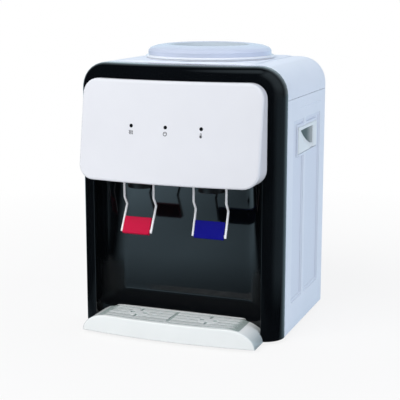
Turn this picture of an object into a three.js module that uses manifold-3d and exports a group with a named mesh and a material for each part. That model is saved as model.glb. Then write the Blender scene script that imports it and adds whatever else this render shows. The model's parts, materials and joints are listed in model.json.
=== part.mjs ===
// Countertop water dispenser for an upturned bottle: a hot tap and a room-temperature tap.
// Millimetres, +Z up, the front faces -Y. The pieces are drawn with y = 0 at the bezel's side
// edges and z = 0 on the table, and the group then moves so that y = 0 is the middle of the depth.

import * as THREE from 'three';
import { mergeVertices } from 'three/addons/utils/BufferGeometryUtils.js';
import Module from 'manifold-3d';

const wasm = await Module();
wasm.setup();

// ---- driving dimensions -------------------------------------------------------------------

const GAP = 0.3;                    // between pieces that touch
const WALL = 3;                     // shell mouldings
const BODY_WIDTH = 280;
const BODY_HEIGHT = 350;            // underside of the base to the top of the shell
const BODY_DEPTH = 221;             // bezel's side edges to the rear of the shell
const FOOT_HEIGHT = 4;
const FOOT_RADIUS = 11;
const FOOT_STEM_RADIUS = 4;
const FOOT_INSET = 30;              // foot's axis from the shell's side
const FOOT_FRONT_Y = 62;
const FOOT_REAR_MARGIN = 40;        // rear feet's axes from the shell's rear
const TONGUE_FRONT = 4;             // front edge of the base's tongue under the tray

const BEZEL_SIDE_DEPTH = 30;
const BEZEL_BOW = 15;
const BEZEL_EDGE_RADIUS = 28;       // seen from above
const SHOULDER_RADIUS = 36;         // seen from the front
const BEZEL_TOP_ROUND = 22;         // seen from the side
const COLUMN_WIDTH = 24;            // shell side to the recess opening
const RECESS_DEPTH = 42;
const RECESS_COVE = 23;
const RECESS_FLOOR_COVE = 23;
const VALANCE = 28.5;               // how far the front panel hangs below the recess ceiling

const PANEL_MARGIN = 18;            // shell side to the front panel's side
const PANEL_TOP_MARGIN = 18.4;
const PANEL_HEIGHT = 128.1;
const PANEL_CORNER = 20;
const PANEL_BOW = 11;
const PANEL_TOP_PROUD = 11;         // at the panel's ends, in front of y = 0
const PANEL_BOTTOM_PROUD = 32;
const PANEL_WALL = 2.5;

const LAMP_RADIUS = 2.5;
const LAMP_SPACING = 47;
const LAMP_DROP = 56.5;             // below the panel's top edge
const LAMP_BOARD = { width: 112, height: 14, thickness: 1.6, depth: 9.3 };
const LAMP_PROUD = 0.6;              // lamp's tip in front of the panel's face
const LAMP_POST_RADIUS = 2.5;
const WIRE_HOLE = 10;               // height of the hole behind the lamp board; twice as wide

const SEAM_DROP = 43;               // top cover's lower edge below the top
const PLATEAU_RISE = 1.5;
const PLATEAU_HALF = 93;
const COVER_REAR_ROUND = 6;
const REAR_CORNER = 8;              // shell's rear corners, seen from above
const REAR_RETURN = 12;             // how far the side shells turn in across the rear
const LEDGE_REACH = 28;             // shell's side to the end of the ledge behind the rear panel
const LEDGE_DEPTH = 3.3;
const FIELD_STEP = 1.1;             // each of the two steps of a sunk side field
const FIELD_STEP_WIDTH = 4;
const FIELD_BACKING = 2.2;          // extra wall behind the sunk fields and round the handle
const FIELD_BACKING_MARGIN = 3;
const FRONT_FIELD = [57, 107];
const REAR_FIELD_FROM = 116;
const FIELD_REAR_MARGIN = 33;
const FIELD_FOOT = 37;              // field's lower edge above the base
const FIELD_HEAD = 29;              // field's upper edge below the seam

const HANDLE = { from: 79, to: 170, low: 82, high: 118, pocketFrom: 100, pocketTo: 153 };
const HANDLE_RIM = 5;
const HANDLE_POCKET_HEIGHT = 19;
const HANDLE_POCKET_DEPTH = 28;
const HANDLE_POCKET_ROUND = 14;
const HANDLE_PROUD = 0.6;
const HANDLE_WALL = 2;

const SEAT_Y = 128;
const SEAT_FLANGE_RADIUS = 87;
const SEAT_RADIUS = 83.5;
const SEAT_MOUTH_RADIUS = 50;
const SEAT_NECK_RADIUS = 30;
const SEAT_HEIGHT = 16.4;
const SEAT_NECK_DROP = 12;
const SEAT_WALL = 2.5;
const SEAT_FLANGE = 2;
const RESERVOIR_RADIUS = 78.5;
const RESERVOIR_DEPTH = 104;
const RESERVOIR_WALL = 2.5;
const RIM_THICKNESS = 1.5;
const RIM_RADIUS = 86;

const TRAY_HEIGHT = 24;
const TRAY_MARGIN = 20;             // shell side to the tray's side
const TRAY_PROUD = 33;              // at the tray's ends, in front of y = 0
const TRAY_BOW = 9;
const TRAY_BACK = 18.7;
const TRAY_WALL = 3;
const GRILLE_THICKNESS = 3;
const GRILLE_MARGIN = 22;           // tray's side to the grille's side
const GRILLE_EDGE = 4;
const GRILLE_ROWS = 6;
const SLOT_WIDTH = 3;
const TARGET_RADIUS = 14;

const TAP_X = 49;
const TAP_Y = 5;
const TAP_RADIUS = 18;
const TAP_HEIGHT = 29;
const TAP_DROP = 12.5;              // tap's lower end below the panel's lower edge
const SHANK_RADIUS = 8;
const SHANK_RISE = 19;              // shank's axis above the tap's lower end
const SPOUT_RADIUS = 6;
const CHAMBER_RADIUS = 12;
const BONNET_RADIUS = 16;
const STEM_RADIUS = 2.5;
const PLUNGER_RADIUS = 8;

const WIRE_RADIUS = 1.5;
const WIRE_SIDES = 6;
const PIVOT = { y: -3.5, rise: 22, stubEnd: 11.8, holeEnd: 10 };
const LEVER_DROP = 57;              // foot of the lever below the tap's lower end
const LEVER_KNEE = { y: 4.5, drop: 24 };
const LEVER_SHOULDER_RISE = 5;
const PADDLE = { height: 24, thickness: 5 };
const HOT_LEVER = { spacing: 41.5, footY: -14 };     // between the arms' axes; foot's place
const COLD_LEVER = { spacing: 44.5, footY: -7 };

const TUBE_RADIUS = 5.5;
const TUBE_BORE = 4.6;
const HOSE_LEAD = 13;               // straight length at each end of a hose
const SPIGOT_RADIUS = 3.9;
const SPIGOT_BORE = 2.6;
const SPIGOT_LENGTH = 10;

const TANK_RADIUS = 50;
const TANK_HEIGHT = 120;
const TANK_FLOOR = 59.3;
const TANK_WALL = 1.2;
const BAND = { thickness: 2.8, low: 17, high: 57 };
const INSULATION_THICKNESS = 10;
const BRACKET_THICKNESS = 2;

const REAR_RECESS = 3;              // rear panel's face inside the shell's rear
const REAR_PROUD = 5;               // drain cap behind the shell
const VENTS = { x: 55, half: 35, from: 120, pitch: 14, height: 5, rows: 9 };
const SWITCH = { x: -90, z: 60, width: 13, height: 19, depth: 12, rest: -8 };
const DRAIN = { z: 30, radius: 6.2, flange: 11, cap: 9.5, capWall: 1.6, nut: 10, nutDepth: 5 };
const GLAND = { x: 95, z: 30, radius: 7.1, flange: 10, bore: 3.8 };
const TERMINALS = { from: 70, to: 105, rear: 27, depth: 18, height: 13, pitch: 10, slot: 7 };
const SCREW_INSET = 22;
const SCREW_RADIUS = 1.8;
const SCREW_HEAD_RADIUS = 4;
const SCREW_HOLE_RADIUS = 2.2;
const LOW_SCREW_Z = 20;
const TOP_SCREW_DROP = 13;          // top screws below the top cover's lower edge

// ---- derived places -----------------------------------------------------------------------

const BASE = FOOT_HEIGHT;
const TOP = BASE + BODY_HEIGHT;
const HALF = BODY_WIDTH / 2;
const BACK = BODY_DEPTH;
const SEAM = TOP - SEAM_DROP;
const OPENING_HALF = HALF - COLUMN_WIDTH;
const PANEL_HALF = HALF - PANEL_MARGIN;
const PANEL_TOP = TOP - PANEL_TOP_MARGIN;
const PANEL_BOTTOM = PANEL_TOP - PANEL_HEIGHT;
const PANEL_SLOPE = (PANEL_BOTTOM_PROUD - PANEL_TOP_PROUD) / PANEL_HEIGHT;
const CEILING = PANEL_BOTTOM + VALANCE;
const RECESS_BACK = RECESS_DEPTH;
const FLOOR_TOP = BASE + WALL;
const TRAY_TOP = BASE + TRAY_HEIGHT;
const TRAY_HALF = HALF - TRAY_MARGIN;
const GRILLE_HALF = TRAY_HALF - GRILLE_MARGIN;
const REAR_FACE = BACK - REAR_RECESS;
const TAP_LOW = PANEL_BOTTOM - TAP_DROP;
const SHANK_Z = TAP_LOW + SHANK_RISE;
const PIVOT_Z = TAP_LOW + PIVOT.rise;
const SHANK_END = RECESS_BACK + 20;
const BEZEL_ARC = bowRadius(HALF - BEZEL_EDGE_RADIUS, BEZEL_BOW);
const PLATEAU = TOP + PLATEAU_RISE;
const RIM_Z = PLATEAU + GAP;
const SEAT_Z = RIM_Z + RIM_THICKNESS + GAP;
const SCREW_Z = [LOW_SCREW_Z, SEAM - TOP_SCREW_DROP];
const RESERVOIR_FLOOR = TOP - RESERVOIR_DEPTH;
const FRONT_MOST = -(PANEL_BOTTOM_PROUD + PANEL_BOW);
const DRAIN_BARREL_END = REAR_FACE - 13;
const DEPTH_MIDDLE = (FRONT_MOST + BACK + REAR_PROUD) / 2;

// ---- finishes -----------------------------------------------------------------------------

const finish = (color, roughness, metalness = 0) =>
  new THREE.MeshStandardMaterial({ color, roughness, metalness });

const WHITE_GLOSS = finish('#e6e9ee', 0.25);
const SHELL_WHITE = finish('#d3dbe8', 0.4);
const BLACK_GLOSS = finish('#07090c', 0.08);
const TAP_BLACK = finish('#1b2024', 0.35);
const RED = finish('#c81f4e', 0.35);
const BLUE = finish('#1d16a0', 0.35);
const LAMP = finish('#2a2c30', 0.2);
const WIRE_WHITE = finish('#eef0f2', 0.3);
const STAINLESS = finish('#b9bcc0', 0.3, 1);
const SPRING_STEEL = finish('#9a9ca0', 0.35, 1);
const RUBBER = finish('#26272a', 0.8);
const SILICONE = finish('#dfe4e4', 0.5);
const FOAM = finish('#f2f2ee', 0.9);
const CIRCUIT = finish('#2c6b3f', 0.5);
const ZINC = finish('#c7c9cc', 0.4, 1);

// ---- outlines -----------------------------------------------------------------------------

function bowRadius(halfWidth, bow) {
  return (halfWidth ** 2 + bow ** 2) / (2 * bow);
}

function points(...pairs) {
  return pairs.map(([a, b]) => new THREE.Vector2(a, b));
}

function arc(cx, cy, radius, from, to, steps) {
  return Array.from({ length: steps + 1 }, (_, i) => {
    const angle = from + (to - from) * i / steps;
    return new THREE.Vector2(cx + radius * Math.cos(angle), cy + radius * Math.sin(angle));
  });
}

function circle(cx, cy, radius, sides) {
  return arc(cx, cy, radius, 0, 2 * Math.PI, sides).slice(0, -1);
}

// Rectangle with its upper corners rounded by one radius and its lower ones by another.
function roundedRectangle(x0, z0, x1, z1, topRadius, lowRadius, steps = 5) {
  const q = Math.PI / 2;
  return [
    ...arc(x1 - lowRadius, z0 + lowRadius, lowRadius, -q, 0, steps),
    ...arc(x1 - topRadius, z1 - topRadius, topRadius, 0, q, steps),
    ...arc(x0 + topRadius, z1 - topRadius, topRadius, q, 2 * q, steps),
    ...arc(x0 + lowRadius, z0 + lowRadius, lowRadius, 2 * q, 3 * q, steps),
  ];
}

// Front face bowed by an arc, seen from above, closed by a straight back.
function bowedOutline(frontY, radius, halfWidth, back, steps = 14) {
  const swing = Math.asin(halfWidth / radius);
  const q = Math.PI / 2;
  const front = arc(0, frontY + radius, radius, -q - swing, -q + swing, steps);
  return [...front, ...points([halfWidth, back], [-halfWidth, back])];
}

// The bezel from above, drawn in by an inset: bowed front, rounded corners, open to the back.
function bezelPlan(inset, back) {
  const cornerX = HALF - BEZEL_EDGE_RADIUS;
  const arcY = BEZEL_ARC - BEZEL_BOW;
  const reach = BEZEL_ARC - BEZEL_EDGE_RADIUS;
  const cornerY = arcY - Math.sqrt(reach ** 2 - cornerX ** 2);
  const turn = Math.atan2(arcY - cornerY, cornerX);
  const radius = BEZEL_EDGE_RADIUS - inset;
  return [
    ...arc(-cornerX, cornerY, radius, Math.PI, Math.PI + turn, 6),
    ...arc(0, arcY, BEZEL_ARC - inset, Math.PI + turn, 2 * Math.PI - turn, 12).slice(1, -1),
    ...arc(cornerX, cornerY, radius, 2 * Math.PI - turn, 2 * Math.PI, 6),
    ...points([HALF - inset, back], [-(HALF - inset), back]),
  ];
}

function bezelFrontY(x) {
  return BEZEL_ARC - BEZEL_BOW - Math.sqrt(BEZEL_ARC ** 2 - x ** 2);
}

// ---- solids -------------------------------------------------------------------------------

const AXIS_TURN = {
  x: new THREE.Matrix4().set(0, 0, 1, 0, 1, 0, 0, 0, 0, 1, 0, 0, 0, 0, 0, 1),
  y: new THREE.Matrix4().set(1, 0, 0, 0, 0, 0, 1, 0, 0, 1, 0, 0, 0, 0, 0, 1),
  z: new THREE.Matrix4(),
};

// An outline pushed along an axis. It is drawn in (y, z) for x, (x, z) for y and (x, y) for z.
function prism(outline, axis, from, to) {
  const shape = new THREE.Shape(outline);
  const geometry = new THREE.ExtrudeGeometry(shape, { depth: to - from, bevelEnabled: false });
  geometry.translate(0, 0, from);
  geometry.applyMatrix4(AXIS_TURN[axis]);
  return axis === 'y' ? flipped(geometry) : geometry;
}

// A mapping that mirrors the shape turns its faces inwards: this turns them back outwards.
function flipped(geometry) {
  const position = geometry.attributes.position;
  for (let i = 0; i < position.count; i += 3) {
    for (const axis of ['X', 'Y', 'Z']) {
      const kept = position[`get${axis}`](i);
      position[`set${axis}`](i, position[`get${axis}`](i + 1));
      position[`set${axis}`](i + 1, kept);
    }
  }
  return geometry;
}

function box(x0, x1, y0, y1, z0, z1) {
  const geometry = new THREE.BoxGeometry(x1 - x0, y1 - y0, z1 - z0);
  return geometry.translate((x0 + x1) / 2, (y0 + y1) / 2, (z0 + z1) / 2);
}

function rod(axis, a, b, radius, from, to, sides = 16) {
  return prism(circle(a, b, radius, sides), axis, from, to);
}

// A profile of (radius, z) points turned about the Z axis through (x, y).
function turned(profile, x = 0, y = 0, sides = 24) {
  const geometry = new THREE.LatheGeometry(profile, sides);
  return geometry.rotateX(Math.PI / 2).translate(x, y, 0);
}

function ring(inner, outer, low, high, x = 0, y = 0, sides = 24) {
  const profile = points([inner, low], [outer, low], [outer, high], [inner, high], [inner, low]);
  return turned(profile, x, y, sides);
}

// A hose that leaves each end straight, along that end's way out, and curves in between.
function hose([start, startWay], middle, [end, endWay]) {
  const vector = (p) => new THREE.Vector3(...p);
  const lead = (p, way) => vector(p).addScaledVector(vector(way), HOSE_LEAD);
  const curved = [lead(start, startWay), ...middle.map(vector), lead(end, endWay)];
  const path = new THREE.CurvePath();
  path.add(new THREE.LineCurve3(vector(start), curved[0]));
  path.add(new THREE.CatmullRomCurve3(curved));
  path.add(new THREE.LineCurve3(curved.at(-1), vector(end)));
  const section = new THREE.Shape(circle(0, 0, TUBE_RADIUS, 8));
  section.holes.push(new THREE.Path(circle(0, 0, TUBE_BORE, 8)));
  const steps = Math.ceil(path.getLength() / (2.2 * TUBE_RADIUS));
  return new THREE.ExtrudeGeometry(section, { steps, bevelEnabled: false, extrudePath: path });
}

function solid(shape) {
  if (shape instanceof wasm.Manifold) return shape;
  const bare = shape.index ? shape.toNonIndexed() : shape.clone();
  bare.deleteAttribute('normal');
  bare.deleteAttribute('uv');
  const merged = mergeVertices(bare, 1e-4);
  const triVerts = [];
  for (let i = 0; i < merged.index.count; i += 3) {
    const [a, b, c] = [0, 1, 2].map((k) => merged.index.getX(i + k));
    if (a !== b && b !== c && c !== a) triVerts.push(a, b, c);
  }
  const mesh = new wasm.Mesh({
    numProp: 3,
    vertProperties: merged.attributes.position.array,
    triVerts: Uint32Array.from(triVerts),
  });
  return new wasm.Manifold(mesh);
}

const join = (...shapes) => shapes.map(solid).reduce((all, next) => all.add(next));
const cut = (first, ...rest) => rest.map(solid).reduce((left, next) => left.subtract(next), solid(first));
const common = (...shapes) => shapes.map(solid).reduce((all, next) => all.intersect(next));

function asGeometry(shape) {
  const mesh = shape.getMesh();
  const geometry = new THREE.BufferGeometry();
  geometry.setAttribute('position', new THREE.BufferAttribute(mesh.vertProperties, 3));
  return geometry.setIndex(new THREE.BufferAttribute(mesh.triVerts, 1));
}

const dispenser = new THREE.Group();

function piece(name, shape, material) {
  const geometry = asGeometry(solid(shape));
  geometry.computeVertexNormals();
  const node = new THREE.Mesh(geometry, material);
  node.name = name;
  dispenser.add(node);
  return node;
}

// ---- base and feet ------------------------------------------------------------------------

const FOOT_PLACES = [
  ['front_left', -1, FOOT_FRONT_Y],
  ['front_right', 1, FOOT_FRONT_Y],
  ['rear_left', -1, BACK - FOOT_REAR_MARGIN],
  ['rear_right', 1, BACK - FOOT_REAR_MARGIN],
];
const FOOT_X = HALF - FOOT_INSET;
const INNER_HALF = HALF - WALL - GAP;
const LEDGE_FRONT = REAR_FACE - WALL - GAP - LEDGE_DEPTH;

function makeBase() {
  const slab = box(-INNER_HALF, INNER_HALF, BEZEL_SIDE_DEPTH + GAP, LEDGE_FRONT - GAP, BASE, FLOOR_TOP);
  const tongueHalf = OPENING_HALF - GAP;
  const tongue = box(-tongueHalf, tongueHalf, TONGUE_FRONT, BEZEL_SIDE_DEPTH + 1, BASE, FLOOR_TOP);
  const holes = FOOT_PLACES.map(([, side, y]) =>
    rod('z', side * FOOT_X, y, FOOT_STEM_RADIUS + GAP, BASE - 1, FLOOR_TOP + 1, 12));
  piece('base_plate', cut(join(slab, tongue), ...holes), SHELL_WHITE);
}

function makeFoot([place, side, y]) {
  const profile = points(
    [0, 0], [FOOT_RADIUS - 1, 0], [FOOT_RADIUS, 1], [FOOT_RADIUS, BASE - GAP],
    [FOOT_STEM_RADIUS, BASE - GAP], [FOOT_STEM_RADIUS, FLOOR_TOP + 1], [0, FLOOR_TOP + 1],
  );
  piece(`foot_${place}`, turned(profile, side * FOOT_X, y, 16), RUBBER);
}

// ---- shell --------------------------------------------------------------------------------

// Plan of the right side wall with the thick rear corner that takes the rear panel.
function sideWallPlan() {
  const inner = HALF - WALL;
  const returnX = HALF - REAR_RETURN;
  const ledgeX = HALF - LEDGE_REACH;
  return [
    ...points([inner, BEZEL_SIDE_DEPTH + GAP], [HALF, BEZEL_SIDE_DEPTH + GAP]),
    ...arc(HALF - REAR_CORNER, BACK - REAR_CORNER, REAR_CORNER, 0, Math.PI / 2, 4),
    ...points(
      [returnX, BACK], [returnX, REAR_FACE - WALL - GAP], [ledgeX, REAR_FACE - WALL - GAP],
      [ledgeX, LEDGE_FRONT], [inner, LEDGE_FRONT],
    ),
  ];
}

const FIELD_LOW = BASE + FIELD_FOOT;
const FIELD_TOP = SEAM - FIELD_HEAD;
const HANDLE_LOW = TOP - HANDLE.high;
const HANDLE_HIGH = TOP - HANDLE.low;

function sidePanelShape() {
  const wall = prism(sideWallPlan(), 'z', BASE, SEAM - GAP);
  const fields = [FRONT_FIELD, [REAR_FIELD_FROM, BACK - FIELD_REAR_MARGIN]];
  const backing = HALF - WALL - FIELD_BACKING;
  const m = FIELD_BACKING_MARGIN;
  const pads = fields.map(([from, to]) =>
    box(backing, HALF - 1, from - m, to + m, FIELD_LOW - m, FIELD_TOP + m));
  const steps = fields.flatMap(([from, to]) => [0, 1].map((level) => {
    const inset = level * FIELD_STEP_WIDTH;
    const depth = (level + 1) * FIELD_STEP;
    return box(HALF - depth, HALF + 1, from + inset, to - inset, FIELD_LOW + inset, FIELD_TOP - inset);
  }));
  const window = box(HALF - 20, HALF + 1, HANDLE.from, HANDLE.to, HANDLE_LOW, HANDLE_HIGH);
  const frame = box(
    backing, HALF, HANDLE.from - m, HANDLE.to + m, HANDLE_LOW - m, HANDLE_HIGH + m);
  const screwHoles = SCREW_Z.map((z) =>
    rod('y', HALF - SCREW_INSET, z, SCREW_HOLE_RADIUS, LEDGE_FRONT - 1, REAR_FACE, 10));
  return cut(join(cut(join(wall, ...pads), ...steps), frame), window, ...screwHoles);
}

function handleCupShape() {
  const outside = box(
    HALF - WALL, HALF + HANDLE_PROUD,
    HANDLE.from + GAP, HANDLE.to - GAP, HANDLE_LOW + GAP, HANDLE_HIGH - GAP);
  const top = HANDLE_HIGH - HANDLE_RIM;
  const low = top - HANDLE_POCKET_HEIGHT;
  const round = HANDLE_POCKET_ROUND;
  const pocket = (grow) => [
    ...arc(HANDLE.pocketFrom + round, low + round, round + grow, Math.PI, 1.5 * Math.PI, 5),
    ...points(
      [HANDLE.pocketTo + grow, low - grow], [HANDLE.pocketTo + grow, top + grow],
      [HANDLE.pocketFrom - grow, top + grow],
    ),
  ];
  const deep = HALF - HANDLE_POCKET_DEPTH;
  const bowl = prism(pocket(HANDLE_WALL), 'x', deep - HANDLE_WALL, HALF - 1);
  return cut(join(outside, bowl), prism(pocket(0), 'x', deep, HALF + 2));
}

// The same shape on the other side of x = 0.
function mirrored(shape) {
  return flipped(asGeometry(solid(shape)).toNonIndexed().scale(-1, 1, 1));
}

function makeTopCover() {
  const outer = (inset, back) => common(
    prism(
      roundedRectangle(
        -HALF + inset, SEAM - 60, HALF - inset, TOP - inset, SHOULDER_RADIUS - inset, 1),
      'y', BEZEL_SIDE_DEPTH + GAP, back),
    prism([
      ...points([0, SEAM - 80], [back, SEAM - 80]),
      ...arc(
        back - COVER_REAR_ROUND, TOP - inset - COVER_REAR_ROUND, COVER_REAR_ROUND,
        0, Math.PI / 2, 4),
      ...points([0, TOP - inset]),
    ], 'x', -HALF, HALF),
  );
  const rearCorners = prism([
    ...points([-HALF, 0], [HALF, 0]),
    ...arc(HALF - REAR_CORNER, BACK - REAR_CORNER, REAR_CORNER, 0, Math.PI / 2, 4),
    ...arc(REAR_CORNER - HALF, BACK - REAR_CORNER, REAR_CORNER, Math.PI / 2, Math.PI, 4),
  ], 'z', SEAM - 99, PLATEAU + 1);
  const plateau = box(-PLATEAU_HALF, PLATEAU_HALF, 42, BACK - COVER_REAR_ROUND, TOP - 1, PLATEAU);
  const bore = rod('z', 0, SEAT_Y, RESERVOIR_RADIUS + 1, SEAM, PLATEAU + 1, 32);
  const room = join(outer(WALL, BACK - WALL), box(-HALF + WALL, HALF - WALL, 0, 60, SEAM, SEAM + 2));
  const below = box(-HALF - 1, HALF + 1, 0, BACK + 1, SEAM - 99, SEAM);
  piece('top_cover', cut(common(join(outer(0, BACK), plateau), rearCorners), room, below, bore), SHELL_WHITE);
}

function makeRearPanel() {
  const inside = REAR_FACE - WALL;
  const half = HALF - REAR_RETURN - GAP;
  const plate = box(-half, half, inside, REAR_FACE, FLOOR_TOP + GAP, SEAM - GAP);
  const vents = [];
  for (const side of [-1, 1]) {
    const middle = side * VENTS.x;
    for (let row = 0; row < VENTS.rows; row += 1) {
      const z = VENTS.from + row * VENTS.pitch;
      vents.push(box(middle - VENTS.half, middle + VENTS.half, inside - 1, BACK, z, z + VENTS.height));
    }
  }
  const screwHoles = [-1, 1].flatMap((side) => SCREW_Z.map((z) =>
    rod('y', side * (HALF - SCREW_INSET), z, SCREW_HOLE_RADIUS, inside - 1, BACK, 10)));
  const switchHole = box(
    SWITCH.x - SWITCH.width / 2, SWITCH.x + SWITCH.width / 2, inside - 1, BACK,
    SWITCH.z - SWITCH.height / 2, SWITCH.z + SWITCH.height / 2);
  const drainHole = rod('y', 0, DRAIN.z, DRAIN.radius + GAP, inside - 1, BACK);
  const glandHole = rod('y', GLAND.x, GLAND.z, GLAND.radius + GAP, inside - 1, BACK);
  piece('rear_panel', cut(plate, ...vents, ...screwHoles, switchHole, drainHole, glandHole), SHELL_WHITE);
}

function makeScrew(side, z, name) {
  const x = side * (HALF - SCREW_INSET);
  const shank = rod('y', x, z, SCREW_RADIUS, REAR_FACE - 12, REAR_FACE + 1, 8);
  const head = rod('y', x, z, SCREW_HEAD_RADIUS, REAR_FACE + GAP, REAR_FACE + 2.3, 12);
  piece(name, join(shank, head), ZINC);
}

// ---- bezel with its splash recess ---------------------------------------------------------

function bezelShell(inset, back) {
  const sideOutline = [
    ...points([back, BASE - 40], [back, TOP - inset]),
    ...arc(
      BEZEL_TOP_ROUND - BEZEL_BOW, TOP - BEZEL_TOP_ROUND, BEZEL_TOP_ROUND - inset,
      Math.PI / 2, Math.PI, 6),
    ...points([-BEZEL_BOW + inset, BASE - 40]),
  ].reverse();
  const frontOutline = roundedRectangle(
    -HALF + inset, BASE - (inset ? 20 : 0), HALF - inset, TOP - inset, SHOULDER_RADIUS - inset, 2);
  return common(
    prism(bezelPlan(inset, back), 'z', BASE - 20, TOP + 1),
    prism(frontOutline, 'y', -40, back),
    prism(sideOutline, 'x', -HALF, HALF),
  );
}

// The recess, grown by a wall: coves at both sides and along the floor.
function recessSpace(grow) {
  const side = OPENING_HALF + grow;
  const back = RECESS_BACK + grow;
  const cove = RECESS_COVE + grow;
  const coveX = OPENING_HALF - RECESS_COVE;
  const coveY = RECESS_BACK - RECESS_COVE;
  const plan = [
    ...points([-side, -60], [side, -60]),
    ...arc(coveX, coveY, cove, 0, Math.PI / 2, 5),
    ...arc(-coveX, coveY, cove, Math.PI / 2, Math.PI, 5),
  ];
  const trayBack = TRAY_BACK + GAP;
  const coveZ = TRAY_TOP - 1 + RECESS_FLOOR_COVE;
  const floorRadius = RECESS_FLOOR_COVE + grow;
  const lowest = -Math.acos(grow / floorRadius);
  const profile = [
    ...points([-60, -20], [trayBack + grow, -20]),
    ...arc(back - floorRadius, coveZ, floorRadius, lowest, 0, 5),
    ...points([back, CEILING + grow], [-60, CEILING + grow]),
  ];
  return common(prism(plan, 'z', -30, TOP), prism(profile, 'x', -HALF, HALF));
}

function makeBezel() {
  const deepBack = RECESS_BACK + 30;
  const shell = cut(bezelShell(0, BEZEL_SIDE_DEPTH), bezelShell(WALL, deepBack));
  const liner = common(recessSpace(WALL), bezelShell(0, deepBack));
  const baseRoom = box(-OPENING_HALF, OPENING_HALF, 0, deepBack + 1, -30, FLOOR_TOP + GAP);
  const underBase = box(-HALF, HALF, BEZEL_SIDE_DEPTH, deepBack + 1, -30, FLOOR_TOP + GAP);
  const tapHoles = [-1, 1].map((side) =>
    rod('y', side * TAP_X, SHANK_Z, SHANK_RADIUS + GAP, RECESS_BACK - 5, deepBack));
  const lampZ = lampPlane().z;
  const half = WIRE_HOLE / 2;
  const wireHole = box(-WIRE_HOLE, WIRE_HOLE, -BEZEL_BOW - 1, 5, lampZ - half, lampZ + half);
  const whole = cut(join(shell, liner), recessSpace(0), baseRoom, underBase, wireHole, ...tapHoles);
  piece('front_bezel', whole, BLACK_GLOSS);
}

// ---- front panel and lamps ----------------------------------------------------------------

// Everything behind the panel's sloped and bowed front face, which moves in by an inset.
function behindPanelFace(inset) {
  const radius = bowRadius(PANEL_HALF, PANEL_BOW);
  const frontY = -PANEL_TOP_PROUD - PANEL_BOW + inset;
  const geometry = prism(
    bowedOutline(frontY, radius, PANEL_HALF + 10, 90), 'z', PANEL_BOTTOM - 20, PANEL_TOP + 20);
  const lean = new THREE.Matrix4();
  lean.set(1, 0, 0, 0, 0, 1, PANEL_SLOPE, -PANEL_SLOPE * PANEL_TOP, 0, 0, 1, 0, 0, 0, 0, 1);
  return geometry.applyMatrix4(lean);
}

function panelFaceY(x, z) {
  const radius = bowRadius(PANEL_HALF, PANEL_BOW);
  const bow = radius - Math.sqrt(radius ** 2 - x ** 2);
  return -PANEL_TOP_PROUD - PANEL_BOW + bow - PANEL_SLOPE * (PANEL_TOP - z);
}

// The lamps stand square to the leaning panel: a plane through its face at the lamps' height.
function lampPlane() {
  const z = PANEL_TOP - LAMP_DROP;
  return { y: panelFaceY(0, z), z, lean: -Math.atan(PANEL_SLOPE) };
}

function onLampPlane(geometry) {
  const { y, z, lean } = lampPlane();
  return geometry.rotateX(lean).translate(0, y, z);
}

function standOnLampPlane(node) {
  const { y, z, lean } = lampPlane();
  node.rotation.x = lean;
  node.position.set(0, y, z);
}

function lampDepth(x) {
  const { y, z, lean } = lampPlane();
  return (panelFaceY(x, z) - y) * Math.cos(lean);
}

const LAMPS = [['lamp_hot', -LAMP_SPACING], ['lamp_power', 0], ['lamp_warm', LAMP_SPACING]];

function makeFrontPanel() {
  const outline = (inset) => prism(
    roundedRectangle(
      -PANEL_HALF + inset, PANEL_BOTTOM + inset, PANEL_HALF - inset, PANEL_TOP - inset,
      PANEL_CORNER - inset, PANEL_CORNER - inset),
    'y', -90, 60);
  const bezelArc = bowedOutline(-BEZEL_BOW - GAP, BEZEL_ARC + GAP, HALF, 200, 20);
  const bezelSide = prism(bezelArc, 'z', 0, TOP + 50);
  const block = cut(common(outline(0), behindPanelFace(0)), bezelSide);
  const room = common(outline(PANEL_WALL), behindPanelFace(PANEL_WALL));
  const skirtHalf = PANEL_HALF - PANEL_CORNER;
  const openFoot = common(
    box(-skirtHalf, skirtHalf, -90, 60, PANEL_BOTTOM - 5, PANEL_BOTTOM + 20), behindPanelFace(10));
  const lampHoles = LAMPS.map(([, x]) =>
    onLampPlane(rod('y', x, 0, LAMP_RADIUS + GAP, -5, 8, 12)));
  const postEnd = LAMP_BOARD.depth - GAP;
  const posts = [-1, 1].map((side) =>
    onLampPlane(rod('y', side * LAMP_SPACING / 2, 0, LAMP_POST_RADIUS, 1.5, postEnd, 8)));
  piece('front_panel', join(cut(block, room, openFoot, ...lampHoles), ...posts), WHITE_GLOSS);
}

function makeLamp([name, x]) {
  const front = lampDepth(x) - LAMP_PROUD;
  const back = LAMP_BOARD.depth - GAP;
  const dome = rod('y', x, 0, LAMP_RADIUS, front, back, 12);
  const flange = rod('y', x, 0, LAMP_RADIUS + 0.6, back - 1.2, back, 12);
  standOnLampPlane(piece(name, join(dome, flange), LAMP));
}

function makeLampBoard() {
  const { width, height, thickness, depth } = LAMP_BOARD;
  const board = box(-width / 2, width / 2, depth, depth + thickness, -height / 2, height / 2);
  standOnLampPlane(piece('lamp_board', board, CIRCUIT));
}

// ---- bottle seat and reservoir ------------------------------------------------------------

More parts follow.
